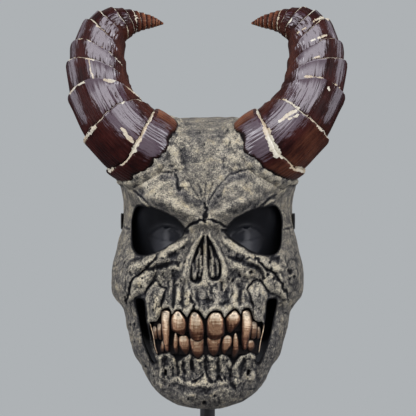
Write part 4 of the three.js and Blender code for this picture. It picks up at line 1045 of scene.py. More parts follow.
# Horns: overlapping growth rings with lips, ridges, cream chips and a gloss coat
hornValues = dict(
    columns=300, rowLength=1.12, ridges=1.3, flare=2.2, lineWidth=0.55, roughness=0.30,
    combs=35, combDepth=1.0,  # pairs of close ridges round the base
    brown=[(0.45, (0.0025, 0.0007, 0.0009)), (0.75, (0.010, 0.0020, 0.0019)), (1.0, (0.030, 0.0062, 0.0048))],
    orange=[(0.55, (0.026, 0.0070, 0.0046)), (0.80, (0.088, 0.027, 0.0145)), (1.0, (0.20, 0.080, 0.038))],
    # Of the two colours below, the purple-grey is a painted reflection and the near black a painted shade.
    reflectionPanel=(0.052, 0.031, 0.044), paintedShade=(0.003, 0.0015, 0.0015),
    creams=((0.46, 0.435, 0.355), (0.36, 0.295, 0.205)))
hornRings = [  # lip height and where the ring ends: (degrees round from the front, place)
    (2.3, ((-100, 3.15), (-72, 3.15), (-27, 3.05), (3, 2.9), (30, 2.92), (72, 3.0), (120, 3.05))),
    (3.2,
     ((-120, 3.7), (-84, 3.75), (-72, 4.1), (-40, 4.2), (-21, 4.17), (18, 4.1), (50, 4.1), (81, 4.1),
      (130, 4.0))),
    (2.9, ((-130, 4.2), (-90, 4.3), (-48, 5.28), (-20, 5.6), (0, 5.7), (27, 5.6), (72, 5.5), (130, 5.0))),
    (2.45,
     ((-130, 5.2), (-93, 5.3), (-66, 5.95), (-45, 6.4), (-18, 6.75), (9, 6.92), (40, 7.1), (66, 7.2),
      (130, 6.6))),
    (2.2, ((-130, 6.1), (-99, 6.28), (-66, 6.8), (-39, 7.4), (0, 7.98), (30, 8.1), (60, 8.1), (130, 7.4))),
    (2.0, ((-130, 7.3), (-87, 7.45), (-48, 8.5), (-15, 8.75), (18, 9.0), (54, 9.1), (130, 8.4))),
    (1.8, ((-120, 9.2), (-57, 9.5), (0, 9.6), (57, 9.9), (120, 9.6))),
    (1.5, ((-102, 10.9), (-57, 10.85), (-24, 10.5), (9, 10.4), (90, 10.5))),
    (1.3, ((-81, 12.1), (-33, 11.5), (12, 11.42), (90, 11.5))),
    (1.1, ((-90, 12.45), (-27, 12.4), (36, 12.28), (90, 12.3))),
    (0.9, ((-90, 13.0), (0, 12.85), (90, 12.9))), (0.8, ((-90, 13.4), (0, 13.3), (90, 13.35))),
    (0.8, ((-90, 13.75), (0, 13.7), (90, 13.75))), (0.7, ((-90, 14.05), (0, 14.0), (90, 14.05))),
    (0.6, ((-90, 14.35), (0, 14.3), (90, 14.35))), (0.5, ((-90, 14.6), (0, 14.58), (90, 14.6)))]
hornChips = {  # bare cream places: half width, then (place, degrees) along each
    1: ((1.5, ((3.5, -27), (3.83, -24), (4.05, -18))), (0.9, ((3.75, -18), (4.0, -12))),
        (0.5, ((3.12, -66), (3.12, -48), (3.05, -33))),
        (1.8, ((3.03, -29), (2.95, -14), (2.9, -3), (2.85, 9))),
        (0.9, ((4.23, -54), (4.2, -33), (4.2, -18))), (0.8, ((4.15, 3), (4.12, 14))),
        (0.8, ((4.08, 24), (4.1, 42), (4.12, 57))), (1.2, ((5.65, -33), (5.68, -18), (5.73, 0))),
        (0.6, ((5.68, 24), (5.68, 48))), (0.7, ((6.7, -33), (6.83, -24), (6.95, -12))),
        (0.8, ((8.05, -27), (8.15, -12), (8.28, 12))), (0.6, ((9.03, -3), (9.12, 18), (9.28, 54))),
        (0.8, ((12.28, 36), (12.4, -27), (12.45, -90))), (0.8, ((5.33, 14), (5.23, 18))),
        (0.5, ((8.88, -54), (8.9, -29))), (0.5, ((2.88, 36), (3.0, 51), (3.03, 84)))),
    -1: ((1.8, ((3.48, -9), (3.23, -6), (3.1, -6))), (0.6, ((3.12, -57), (3.05, -33), (3.0, -18))),
         (0.85, ((3.0, -18), (2.95, -9), (2.88, 6))), (0.8, ((3.88, -84), (4.03, -84))),
         (0.9, ((4.17, -36), (4.2, -45))), (0.8, ((4.03, 78), (4.03, 42), (4.05, 21))),
         (1.3, ((5.35, -29), (5.25, -39), (5.25, -51))), (0.8, ((5.58, 24), (5.55, 9))),
         (0.7, ((5.5, 59), (5.58, 48))), (0.9, ((7.25, 66), (7.08, 33))), (1.2, ((6.85, 0), (6.73, -14))),
         (0.6, ((6.73, -6), (6.25, -6), (5.7, -9))), (0.7, ((8.1, 29), (8.05, 14))),
         (0.7, ((8.03, 9), (7.9, -6))), (0.4, ((7.83, -12), (7.35, -42), (6.7, -81))),
         (0.6, ((8.78, -6), (8.72, -24))), (0.5, ((6.35, -45), (5.95, -66), (5.38, -102))),
         (0.9, ((12.35, -18), (12.6, -33))))}


# Rings of points round the centre line. In each growth ring the radius grows by lip times share^2.2,
# drops at the lip's edge and starts below it again; ridges run along it and fade towards the lip. The
# base is combed: |sin| round the horn, bent by noise, deepest at the bone.
def growHorn(seed):
    angle = around(hornValues["columns"] // coarser, -math.pi)
    circle = onCircle(angle)
    edges = [0 * angle]
    for k, (lip, table) in enumerate(hornRings):
        wave = 0.035 * noise(circle * 3 + k * 7.3 + seed, 1.0, 40)
        wave = wave + 0.025 * noise(circle * 9 + k * 3.1 + seed, 1.0, 41)
        edges.append(roundTable(np.degrees(angle), table) + wave * min(1, 0.3 + 0.3 * lip))
    edges.append(0 * angle + 14.96)
    lips = [0.0] + [lip for lip, _ in hornRings] + [0.2]
    inner = 1 - 0.5 * fade(((np.degrees(angle) + 95) / 65) ** 2)  # lips are lower inside the curve
    combed = (1.0, 0.55, 0.25)  # in the lowest rings
    parts = []
    for k, (before, lip) in enumerate(zip(lips, lips[1:])):
        start, end = edges[k], np.maximum(edges[k + 1], edges[k] + 0.08)
        pace = paceAt((start + end) / 2)
        long = ((end - start) * pace).max() * (2.2 if k == 0 else 1)
        share = np.linspace(0, 1, max(4, int(long / hornValues["rowLength"] / coarser)))[:, None]
        if k > 0:  # rows close up at the lip
            share = 1 - (1 - share) ** 1.25
        place = start + (end - start) * share
        sinceLip, toLip = (place - start) * pace, (end - place) * pace
        thickness = radiusAt(place)
        grain = circle * 5.5 + np.array([0, 0, k * 2.7 + seed]) + np.array([0, 0, 0.35]) * place[..., None]
        ridge = 0.45 * noise(grain, 1.0, 42) + 0.75 * noise(grain * np.array([2.9, 2.9, 1]), 1.0, 43)
        rise = np.minimum(thickness / 30, 1)
        where = 0.35 + 0.65 * ease(-0.2, 0.4, noise(circle * 1.4 + np.array([0, 0, k * 1.3 + seed]), 1.0, 45))
        out = 1.35 * lip * inner * (share ** hornValues["flare"] * ease(-0.7, 1.3, toLip) ** 0.5 - 0.33)
        out = out - 0.3 * before * inner * np.exp(-sinceLip / 3.5)
        out = out + hornValues["ridges"] * ridge * rise * where * (0.25 + 0.75 * (1 - share) ** 0.8)
        comb = np.abs(np.sin(angle * hornValues["combs"] + 1.6 * noise(grain * 0.5, 1.0, 48)))
        amount = combed[k] * (1 - 0.6 * share) if k < len(combed) else 0.12 * (1 - share)
        amount = amount * np.clip(0.55 + 0.8 * noise(grain * np.array([0.45, 0.45, 1]), 1.0, 50), 0.12, 1)
        out = out + hornValues["combDepth"] * (comb - 0.64) * amount
        parts.append(np.stack([
            place, np.maximum(thickness + out, 0.4), toLip, sinceLip + 9 * (k == 0), share + 0 * place,
            k + 0 * place, amount * fade(comb / 0.55)]))
    places, radii, toLip, sinceLip, share, ring, groove = np.concatenate(parts, axis=1)
    turn = np.broadcast_to(angle, places.shape)
    return SimpleNamespace(
        turn=turn, degrees=np.degrees(turn), places=places, radii=radii, toLip=toLip, sinceLip=sinceLip,
        share=share, ring=ring, groove=groove)


# Where the cream shows: a thin line on each lip, broken here and there, wider flakes on some of them,
# and the chips of the list with ragged edges.
def creamPlaces(side, horn, rings, circle):
    broken = noise(circle * np.array([4, 4, 1]), 1.0, 46)
    toEdge = np.minimum(horn.toLip, horn.sinceLip + 0.25)
    line = ease(hornValues["lineWidth"] + 0.5, 0.05, toEdge) * ease(-0.55, 0.0, broken)
    line = line * (1 - 0.5 * ease(12.2, 13.0, horn.places))
    flake = noise(circle * np.array([2.1, 2.1, 1]), 1.0, 44)
    reach = 3.2 * ease(0.45, 0.8, flake) * np.minimum(horn.radii / 30, 1)
    bare = np.maximum(line * 0.85, ease(1.0, -0.6, horn.toLip - reach) * (flake > 0.4) * 0.8)
    for half, points in hornChips[side]:
        place, degrees = np.mean(points, axis=0)
        alongScale, roundScale = paceAt(place), math.radians(1) * radiusAt(place)  # to millimetres
        path = smoothLine(np.array(points, float) * [alongScale, roundScale], 5 * len(points))
        close = (np.abs(horn.places - place) < 2) & (np.abs(horn.degrees - degrees) < 90)
        away = lineDistance(horn.places[close] * alongScale, horn.degrees[close] * roundScale, path)[0]
        away = away + 0.75 * noise(rings[close], 2.4, 47) + 0.7 * noise(rings[close], 1.1, 48)
        bare[close] = np.maximum(bare[close], ease(half + 0.9, half - 0.9, away))
    return bare


# Painted shade: where the bone ends, behind each lip and in the combed grooves.
def shadePlaces(side, horn):
    seamGap = (horn.places - roundTable(horn.degrees, boneEnds[side])) * paceAt(horn.places)
    dark = fade(np.clip(seamGap, 0, None) / 2.4)
    dark = np.maximum(dark, 0.85 * fade(horn.sinceLip / 2.2) * (horn.ring > 0))
    return np.maximum(dark, 0.95 * np.clip(horn.groove * 1.3, 0, 1))


# Orange at the foot inside the curve, a little of it on one horn's front, and at the tip.
def warmPlaces(side, horn):
    insideCurve = ease(-40, -85, horn.degrees) * ease(175, 150, np.abs(horn.degrees))
    warm = insideCurve * np.where(horn.places < 2.9, 0.95, 0.12)
    front = ease(10, 25, horn.degrees) * ease(4.4, 4.0, horn.places)
    warm = np.maximum(warm, (0.22 if side > 0 else 0.0) * front)
    return np.maximum(warm, ease(12.0, 13.4, horn.places) * ease(0.15, 0.75, horn.share))


# Gloss panels down the front, where a purple-grey painted reflection goes: one broad band and one narrow,
# both wavering, weaker in the painted shade, near the foot of each ring and towards the tip.
def reflectionPlaces(horn, circle, dark):
    shift = 7 * noise(circle * np.array([0, 0, 1]), 0.9, 49)
    first = np.minimum((horn.degrees + 58 + shift) / 16, (3 + shift - horn.degrees) / 10)
    second = np.minimum((horn.degrees - 24 - shift) / 11, (56 + shift - horn.degrees) / 16) - 0.12
    second = second - 3 * ease(4.4, 4.0, horn.places) - 1.2 * ease(9.5, 10.5, horn.places)
    glossAndPaintedSheen = np.clip(0.5 + 0.5 * np.maximum(first, second), 0, 1) - dark - 0.55 * ease(10.6, 12.2, horn.places)
    return glossAndPaintedSheen - (0.34 * (1 - horn.share) ** 2 + 0.30 * ease(8.3, 9.6, horn.places))


def hornPiece(name, node, side, seed, material):
    horn = growHorn(seed)
    rings = onHorn(side, horn.places, horn.turn, horn.radii)
    made = tube(name, rings, hornMiddle(side, 0.0), hornMiddle(side, 15.0), material)
    circle = onCircle(horn.turn, horn.ring * 1.9 + seed)
    dark = shadePlaces(side, horn)
    radius = radiusAt(horn.places)
    grain = [np.cos(horn.turn) * radius, np.sin(horn.turn) * radius, horn.places * 1.5 + horn.ring * 9]
    # Cream chips, orange places and the painted shade.
    paint = [creamPlaces(side, horn, rings, circle), warmPlaces(side, horn), dark]
    setField(made, "paint", withPoles(np.stack(paint, -1)))
    setField(made, "grain", withPoles(np.stack(grain, -1) * 0.5))
    setField(made, "glossAndPaintedSheen", withPoles(reflectionPlaces(horn, circle, dark)))
    shapeBy(made, [("DIFFERENCE", liningBody(wall - 1.5))])
    finishPiece(made, "horn_gloss", node, sharp=40)


# Horn: streaked red-brown under gloss, with purple-grey painted reflections down the front, near black
# painted shade at the bone, behind each lip and in the grooves, orange inside the curve and at the tip,
# bare cream where the paint is chipped.
def hornMaterial():
    made, tree = newMaterial("glossyHorn")
    bare, warm, dark = partsOf(tree, fieldOf(tree, "paint"))
    lines = streaked(tree, fieldOf(tree, "grain"), 1.1)
    combed = scaled(tree, lines["Streaks"], 2.2, maths(tree, "SUBTRACT", fieldOf(tree, "glossAndPaintedSheen", "Fac"), 1.1))
    combed = scaled(tree, lines["Scratches"], 1.3, maths(tree, "SUBTRACT", combed, 0.65))
    # The painted reflection: this mask lays the purple-grey colour and the coat down the front.
    reflectionPanel = between(tree, combed, 0.40, 0.75)
    specks = mottled(tree, objectPlace(tree), 300.0, 0.42, 0.6)
    level = scaled(tree, lines["Scratches"], 0.45, scaled(tree, lines["Streaks"], 0.55))
    level = scaled(tree, specks["Broad"], 0.75, level)
    brown, orange = (ramp(tree, level, hornValues[key]) for key in ("brown", "orange"))
    colour = blendColours(tree, warm, brown, orange)
    colour = blendColours(tree, scaled(tree, reflectionPanel, 0.85), colour, hornValues["reflectionPanel"])
    # Painted shade, near black, at the bone, behind each lip and in the grooves.
    colour = blendColours(tree, dark, colour, hornValues["paintedShade"])
    ragged = scaled(tree, specks["Mask"], -0.22, bare)
    ragged = scaled(tree, lines["Scratches"], 0.25, ragged)
    cream = between(tree, ragged, 0.42, 0.56)
    creamTone = blendColours(tree, between(tree, specks["Broad"], 0.35, 0.65), *hornValues["creams"])
    colour = blendColours(tree, cream, colour, creamTone)
    rough = scaled(tree, cream, 0.3, hornValues["roughness"])
    rough = scaled(tree, reflectionPanel, -0.12, rough)
    coat = scaled(tree, cream, -0.5, scaled(tree, reflectionPanel, 0.96, 0.025), clamp=True)
    height = scaled(tree, lines["Scratches"], 0.7, lines["Streaks"])
    surface(tree, {"Base Color": colour, "Roughness": rough, "Normal": bumped(tree, height, 0.5, 0.0011),
                   "Coat Weight": coat, "Coat Roughness": 0.09, "Coat IOR": 1.68, "Specular IOR Level": 0.04})
    return made


glossyHorn = hornMaterial()
hornPiece("hornRight", "horn_right", 1, 5.3, glossyHorn)
hornPiece("hornLeft", "horn_left", -1, 1.7, glossyHorn)

# Teeth: each by its left and right edge at some heights, from the gum to the tip
teethValues = dict(
    rows=30, columns=30, upperStands=5.6, lowerStands=3.4, stripRadius=0.55,
    paints=[(0.05, (0.16, 0.135, 0.10)), (0.18, (0.52, 0.43, 0.31)), (0.38, (0.33, 0.235, 0.15)),
            (0.49, (0.120, 0.060, 0.032)), (0.56, (0.22, 0.130, 0.075)), (0.70, (0.060, 0.0240, 0.0120)),
            (0.80, (0.022, 0.0078, 0.0042)), (1.0, (0.016, 0.006, 0.0035))],
    tarnish=(0.085, 0.085, 0.075), rust=(0.11, 0.045, 0.028), dim=(0.032, 0.0165, 0.0095),
    # The last colour is a painted shade, near black.
    paintedShade=(0.003, 0.002, 0.002))
upperTeeth = [  # thickness, how dim it is, (height, left, right) rows
    (4.0, 0.0,
     [(98.5, -40, -35.6), (95.7, -42.2, -33.9), (87.7, -42.4, -34.3), (78.1, -41.9, -33.9),
      (70, -40.9, -34.7), (63.6, -39.8, -34.8), (59.6, -38.4, -34.8), (58.2, -36.8, -35.2)]),
    (3.6, 0.0,
     [(98.1, -27.2, -25.6), (95.7, -29.6, -23.2), (91.7, -31.8, -20), (87.7, -32.6, -18.2),
      (83.7, -32.6, -17.6), (79.7, -32.3, -18.2), (77.3, -29.1, -18.8), (75.3, -24.4, -19.6),
      (74.2, -22.4, -20.4)]),
    (3.9, 0.0,
     [(97.3, -11.6, -8.8), (94.9, -13.4, -6), (91.7, -14.6, -3.6), (87.7, -15.2, -2), (83.7, -15.6, -0.9),
      (79.7, -15.2, -0.5), (75.7, -14.6, -0.9), (72.5, -13.5, -1.5), (70, -11.4, -2.8),
      (68.4, -8.4, -5.4)]),
    (3.9, 0.0,
     [(96.9, 8.4, 12), (95.3, 5.7, 15.2), (92.5, 3.6, 16.8), (88.5, 2.3, 18.2), (83.7, 1.8, 18.8),
      (79.7, 1.9, 18.8), (74.9, 2.3, 18.2), (73.3, 3.1, 16.4), (71.2, 4.6, 14.4), (70.2, 7.2, 11.2)]),
    (3.6, 0.0,
     [(98.5, 27.6, 29.2), (95.7, 24.8, 31.6), (92.5, 21.1, 33.6), (89.3, 20.2, 33.9), (86.1, 20, 33.1),
      (82.9, 20.4, 30.8), (79.7, 21.1, 28), (76.9, 22.4, 25.6)]),
    (4.0, 0.0,
     [(98.5, 37.3, 40.8), (95.7, 35.6, 43.3), (90.9, 35.5, 44.8), (84.5, 35.3, 45.3), (78.1, 35.2, 44.4),
      (71.6, 35, 42.9), (66, 35.3, 41.4), (62, 36, 40.3), (59.6, 37, 39)]),
    (3.2, 0.6,
     [(85.5, -45.6, -42.8), (81.3, -46.5, -42.2), (76.5, -46.5, -42), (71.6, -45.3, -41.8),
      (69.4, -44, -42)]),
    (3.0, 0.75,
     [(82.5, -50, -48), (79.7, -51, -46.8), (75.7, -50.8, -46.4), (71.6, -49.9, -46.2),
      (69.6, -48.6, -46.8)]),
    (3.2, 0.6,
     [(87.7, 44.8, 48.1), (83.7, 44.4, 50), (78.1, 43.9, 50.4), (73.3, 43.6, 49.6), (69.6, 44, 47.6)]),
    (2.8, 0.75, [(82.1, 50.4, 52.4), (78.1, 50, 53.2), (73.3, 49.6, 53.1), (70, 49.6, 52)])]
lowerTeeth = [
    (3.0, 0.35,
     [(51.5, -7.6, -5.4), (53.9, -9.6, -4), (56.5, -11.4, -2.2), (60.5, -12.9, -1.2), (65.3, -14, -1.1),
      (70, -14.6, -1.2), (72.4, -13.4, -2.6)]),
    (3.0, 0.35,
     [(54.1, 7.2, 9.8), (56, 5.2, 11.6), (59.6, 3.6, 13.2), (64.4, 2.6, 14.2), (69, 1.8, 15.2),
      (72.4, 2.4, 15.2), (74.4, 4.4, 12)]),
    (3.0, 0.35,
     [(54.9, -18.8, -17.2), (57.3, -20.4, -16), (60.5, -23.2, -15.2), (64.4, -24.8, -14.6),
      (67.6, -25.5, -14.8), (71.6, -25.4, -16), (74.2, -23.6, -17.2)]),
    (3.0, 0.35,
     [(55.7, 17.6, 19.2), (57.3, 16.8, 20), (60.5, 16.1, 22), (63.6, 15.8, 24.8), (67.6, 16.3, 25.9),
      (71.6, 17.6, 25.6), (74.4, 20, 24)]),
    (2.8, 0.3,
     [(55.7, -28.8, -26), (59.6, -30, -25.6), (63.6, -31, -26), (68.4, -30.7, -25.9), (73.3, -29.9, -26.4),
      (76.5, -29.1, -27.8)]),
    (2.8, 0.3,
     [(51.6, 26.1, 28.5), (55.7, 25.4, 31.3), (59.6, 26.2, 32.5), (64.4, 26.7, 32.5), (68.4, 26.8, 32.3),
      (73.3, 27.5, 31), (76.5, 28.6, 29.9)]),
    (2.6, 0.7, [(56.5, -42.6, -39.8), (60.5, -43.6, -39.2), (64.4, -42.9, -39.5), (68.5, -41.8, -40)]),
    (2.6, 0.6, [(57.3, 42, 45.6), (62, 40.2, 47.6), (66, 40.6, 47.4), (69.2, 42.4, 45.6)])]
upperStrips = [  # thin bare edges in the corners of the mouth, seen from the front
    [(-54.1, 85.3), (-52.9, 82), (-50, 71.6), (-48.5, 62), (-46.5, 56)],
    [(56.4, 86.5), (56, 79.6), (53.2, 67.6), (51.6, 57)]]


# A tooth: at each height the half width w follows its two edges, the front stands out from the floor
# of the mouth by thickness times a round section, both ends rounded off. Gives its points, how far
# down each lies and its painted shade, strongest at the edges, at the gum and on the back.
def toothGrid(thick, rows, stands):
    table = np.array(sorted(rows, reverse=rows[0][0] > rows[-1][0]), float)
    share = 0.5 - 0.5 * np.cos(np.linspace(0.06, 0.985, teethValues["rows"]) * math.pi)
    fine = smoothLine(table, 200)
    height, left, right = (np.interp(share, np.linspace(0, 1, 201), fine[:, k])[:, None] for k in range(3))
    share = share[:, None]
    blunt = math.sqrt(0.02)  # the ends' smallest width
    ends = np.maximum(quarterRound(share / 0.10), blunt) * np.maximum(quarterRound((1 - share) / 0.12), blunt)
    turn = around(teethValues["columns"])[None]
    c, s = np.cos(turn), np.sin(turn)
    middle, half = (left + right) / 2, (right - left) * 0.525
    flute = 1 + 0.03 * np.cos(6 * turn) * np.sin(share * math.pi)
    deep = thick * (0.62 + 0.38 * np.sin(np.clip(share * 1.25, 0, 1) * math.pi)) * ends * flute
    x = middle + half * ends ** 0.6 * signedPower(c, 0.82)
    y = mouthFloor(middle) - stands - deep * signedPower(s, 0.8)
    y = y + (mouthFloor(x) - mouthFloor(middle)) * 0.9
    down = share + 0 * turn
    shadedEdge = np.abs(c) ** 3 + ease(0.10, 0.02, down) * 0.8 + 0.6 * (s < -0.15)
    if rows[0][0] < rows[-1][0]:  # lower teeth too are darker low down, at the root, and lighter high up: painted light from above
        shadedEdge = shadedEdge + 0.75 * ease(0.42, 0.12, down)
        down = 1.0 - 0.80 * down
    return np.stack([x, y, height + 0 * turn], -1), down, shadedEdge


# One closed body of a row: its points, its faces turned outwards, and its three values at each point.
def toothBody(grid, *values):
    rows, columns = grid.shape[:2]
    flat = np.vstack([grid.reshape(-1, 3), grid[0].mean(0), grid[-1].mean(0)])
    quads, fans = tubeFaces(rows, columns)
    a, b, d = (flat[quads[:, k]] for k in (0, 1, 3))
    centre = np.repeat(grid.mean(1), columns, axis=0)[quads[:, 0]]
    if (np.cross(b - a, d - a) * (a - centre)).sum() < 0:
        quads, fans = quads[:, ::-1], fans[:, ::-1]
    fields = [np.append(np.broadcast_to(v, (rows, columns)), [np.mean(v)] * 2) for v in values]
    return flat, quads, fans, np.stack(fields, -1)


# A row of teeth as one piece: the teeth, a dark band that holds them, and thin bare edge strips.
def toothRow(name, teeth, stands, band, strips, replaced, material):
    bodies = []
    for thick, dim, rows in teeth:
        bodies.append(toothBody(*toothGrid(thick, rows, stands), dim))
    x = np.linspace(-50, 50, 61)
    low, high = band
    section = ((-3.2, low), (-3.2, high), (-0.3, high + 0.5), (-0.3, low - 0.5))
    grid = np.stack([np.stack([x, mouthFloor(x) + dy, np.full_like(x, z)], -1) for dy, z in section], axis=1)
    # The band is painted near black, a painted shade behind the teeth.
    bodies.append(toothBody(grid, 1.0, 1.6, 0.0))
    for line in strips:
        path = smoothLine(line, 28)
        turn = around(10)
        thin = np.clip(np.sin(np.linspace(0.03, 0.97, 29) * math.pi) * 3, 0, 1)
        radius = teethValues["stripRadius"] * np.sqrt(thin)[:, None]
        x = path[:, :1] + radius * np.cos(turn) * np.sign(path[0, 0])
        y = mouthFloor(path[:, :1]) - 6.5 + radius * np.sin(turn) * 1.6
        bodies.append(toothBody(np.stack([x, y, path[:, 1:] + 0 * x], -1), 0.35, 0.0, 0.15))
    starts = np.cumsum([0] + [len(body[0]) for body in bodies[:-1]])
    faces = [np.vstack([body[k] + start for body, start in zip(bodies, starts)]) for k in (1, 2)]
    made = makeMesh(name, np.vstack([body[0] for body in bodies]), faces, material)
    setField(made, "tooth", np.vstack([body[3] for body in bodies]))
    finishPiece(made, "copper_teeth", replaced, sharp=60)


# Copper paint, pale peach at the top of each tooth and red-brown low down, partly a painted light from
# above, with fine streaks and level bands, painted shade in the gaps and at the edges, and grey tarnish
# near the gum.
def copperMaterial():
    made, tree = newMaterial("copperTeeth")
    place = objectPlace(tree)
    down, shadedEdge, dim = partsOf(tree, fieldOf(tree, "tooth"))
    squeezed = put(tree, "ShaderNodeMapping", {"Vector": place, "Scale": (1.0, 1.0, 0.16)}).outputs[0]
    lines = streaked(tree, squeezed, 430.0)
    specks = mottled(tree, place, 480.0, 0.44, 0.66)
    flattened = put(tree, "ShaderNodeMapping", {"Vector": place, "Scale": (0.12, 0.12, 1.0)}).outputs[0]
    bands = mottled(tree, flattened, 330.0, 0.40, 0.60)
    # Pale high on each tooth and dark low down: copper paint and a painted light from above.
    level = scaled(tree, lines["Streaks"], 0.45, maths(tree, "SUBTRACT", down, 0.33))
    level = scaled(tree, bands["Mask"], 0.16, level)
    level = scaled(tree, shadedEdge, 0.55, level)
    colour = ramp(tree, level, teethValues["paints"])
    # Painted shade at the edges, at the gum, on the back and on the band behind the teeth.
    paintedShade = between(tree, scaled(tree, lines["Scratches"], 0.6, shadedEdge), 0.85, 1.2)
    tarnish = scaled(tree, scaled(tree, specks["Mask"], between(tree, down, 0.5, 0.08)), 0.6)
    rust = scaled(tree, specks["Mask"], 0.2)
    shares = dict(tarnish=tarnish, rust=rust, dim=scaled(tree, dim, 0.85), paintedShade=paintedShade)
    for key, share in shares.items():
        colour = blendColours(tree, share, colour, teethValues[key])
    unshaded = maths(tree, "SUBTRACT", 1.0, paintedShade)
    rough = scaled(tree, paintedShade, 0.5, 0.34)
    surface(tree, {
        "Base Color": colour, "Metallic": scaled(tree, unshaded, 0.75), "Roughness": rough,
        "Normal": bumped(tree, lines["Streaks"], 0.45, 0.0009), "Coat Weight": scaled(tree, unshaded, 0.08),
        "Coat Roughness": 0.12, "Specular IOR Level": 0.1})
    return made


copperTeeth = copperMaterial()
for name, teeth, stands, band, strips, node in (
        ("upperTeeth", upperTeeth, teethValues["upperStands"], (78, 92), upperStrips, "upper_teeth"),
        ("lowerTeeth", lowerTeeth, teethValues["lowerStands"], (56, 64), [], "lower_teeth")):
    toothRow(name, teeth, stands, band, strips, node, copperTeeth)

# Display head
headValues = dict(
    base=28.0, top=280.6, rows=190, columns=220, boreRadius=7.7, boreReach=50, eyeX=40.5, eyeZ=170.5,
    # The last colour is a bluish painted sheen.
    blacks=((0.0030, 0.0032, 0.0040), (0.0045, 0.0050, 0.0062)), glossAndPaintedSheen=(0.0042, 0.0053, 0.0090))
headWidth = byHeight([
    (50.5, 28), (58, 44), (65, 60), (70.5, 78), (73, 98), (75.5, 128), (78, 156), (79, 180), (78.5, 205),
    (74, 232), (63, 255), (42, 273), (0, 281)])
headFront = byHeight([
    (-18, 28), (-22, 40), (-36, 54), (-54, 66), (-60, 86), (-65, 114), (-63, 142), (-62, 168), (-67, 190),
    (-72, 215), (-69, 235), (-55, 258), (-28, 275), (18, 281)])
headBack = byHeight([
    (72, 28), (70, 44), (71, 66), (78, 94), (94, 132), (106, 170), (110, 200), (104, 230), (85, 256),
    (57, 273), (18, 281)])
lids = [  # groove lines of the closed eyes from their middle, and depth
    ([(-15, -2.5), (-12, 1.8), (-6.5, 5.2), (0.5, 6), (7.5, 4.2), (12.5, 0.5), (15.5, -3.5)], 1.6),
    ([(-13, -4), (-7, -6.6), (0, -7.2), (7, -6), (13, -3.4)], 0.9)]


# Closed eyes and a low nose: eyeballs swell a little in shallow hollows, lids are thin grooves.
def headRelief(xSigned, z):
    x = np.abs(xSigned)
    u, v = x - headValues["eyeX"], z - headValues["eyeZ"]
    height = -4 * fade((u / 30) ** 2 + ((v - 4) / 24) ** 2) + 2.2 * fade((u / 19) ** 2 + (v / 14) ** 2)
    height += 9 * fade((lineDistance(x, z, np.array([(0, 190), (0, 138)], float))[0] / 15) ** 2)
    height += 3 * fade((x / 24) ** 2 + ((z - 112) / 9) ** 2)
    for points, deep in lids:
        height -= deep * fade((lineDistance(u, v, smoothLine(points, 28))[0] / 1.5) ** 2)
    return height


# Depth from the middle of the head times cos(t)^0.9 in front and behind, width times sin(t) across.
def headRing(z, turn):
    middle = (headFront(z) + headBack(z)) / 2 + 4
    c = np.cos(turn)
    depth = np.where(c > 0, middle - headFront(z), headBack(z) - middle)
    return headWidth(z) * np.sin(turn), middle - depth * signedPower(c, 0.9)


# A profile of (radius, height) turned round the vertical axis, closed at both ends on the axis.
def lathe(name, profile, columns, material=None):
    turn = around(columns)
    r, z = np.array(profile, float).T[..., None]
    rings = np.stack([r * np.cos(turn), r * np.sin(turn), z + 0 * turn], -1)
    return tube(name, rings, (0, 0, z[0, 0]), (0, 0, z[-1, 0]), material)


# Rings of the head from its base to its crown, with the face's relief in front and the rod's bore cut
# in from below.
def displayHead(material):
    low, high = headValues["base"], headValues["top"]
    rise = np.sin(np.linspace(0.0, 1, headValues["rows"] // coarser) * math.pi / 2) ** 0.9
    turn, z = np.meshgrid(around(headValues["columns"] // coarser), low + (high - low) * rise * 0.998)
    x, y = headRing(z, turn)
    y = y - ease(0.2, 0.75, np.cos(turn)) * headRelief(x.ravel(), z.ravel()).reshape(x.shape)
    made = tube("displayHead", np.stack([x, y, z], -1), (0, 30, low), (0, 18, high), material)
    radius = headValues["boreRadius"]
    bore = lathe("bore", [(radius, low - 20), (radius, low + headValues["boreReach"])], 32)
    shapeBy(made, [("DIFFERENCE", bore)])
    return made


# Black, glossy round the closed eyes, with a bluish painted sheen in the same place: both fade outwards,
# towards the middle and towards the brow, where its shade falls.
def headMaterial():
    made, tree = newMaterial("blackHead")
    place = objectPlace(tree)
    patches = mottled(tree, place, 40.0)
    fine = mottled(tree, place, 1800.0)
    colour = blendColours(tree, patches["Mask"], *headValues["blacks"])
    sideways, _, high = partsOf(tree, place)
    sideways = maths(tree, "ABSOLUTE", sideways)
    outer = between(tree, sideways, 0.044, 0.058)
    inner = between(tree, sideways, 0.016, 0.036)
    glossAndPaintedSheen = scaled(tree, maths(tree, "SUBTRACT", 1.0, outer), between(tree, high, 0.338, 0.314))
    glossAndPaintedSheen = scaled(tree, glossAndPaintedSheen, scaled(tree, inner, 0.7, 0.3))
    # A bluish painted sheen where the coat is.
    colour = blendColours(tree, glossAndPaintedSheen, colour, headValues["glossAndPaintedSheen"])
    rough = scaled(tree, patches["Level"], 0.1, scaled(tree, outer, 0.4, 0.4))
    surface(tree, {
        "Base Color": colour, "Roughness": rough, "Normal": bumped(tree, fine["Level"], 0.15, 0.0002),
        "Specular IOR Level": 0.06, "Coat Weight": scaled(tree, glossAndPaintedSheen, 0.37, 0.03), "Coat Roughness": 0.16,
        "Coat IOR": 1.42})
    return made


finishPiece(displayHead(headMaterial()), "black_head", "display_head")

# Strap
strapValues = dict(
    width=16.0, thick=1.2, height=183.0, startY=6.0, middle=26.0, count=260, columns=40,
    blacks=((0.004, 0.004, 0.005), (0.02, 0.02, 0.022)))


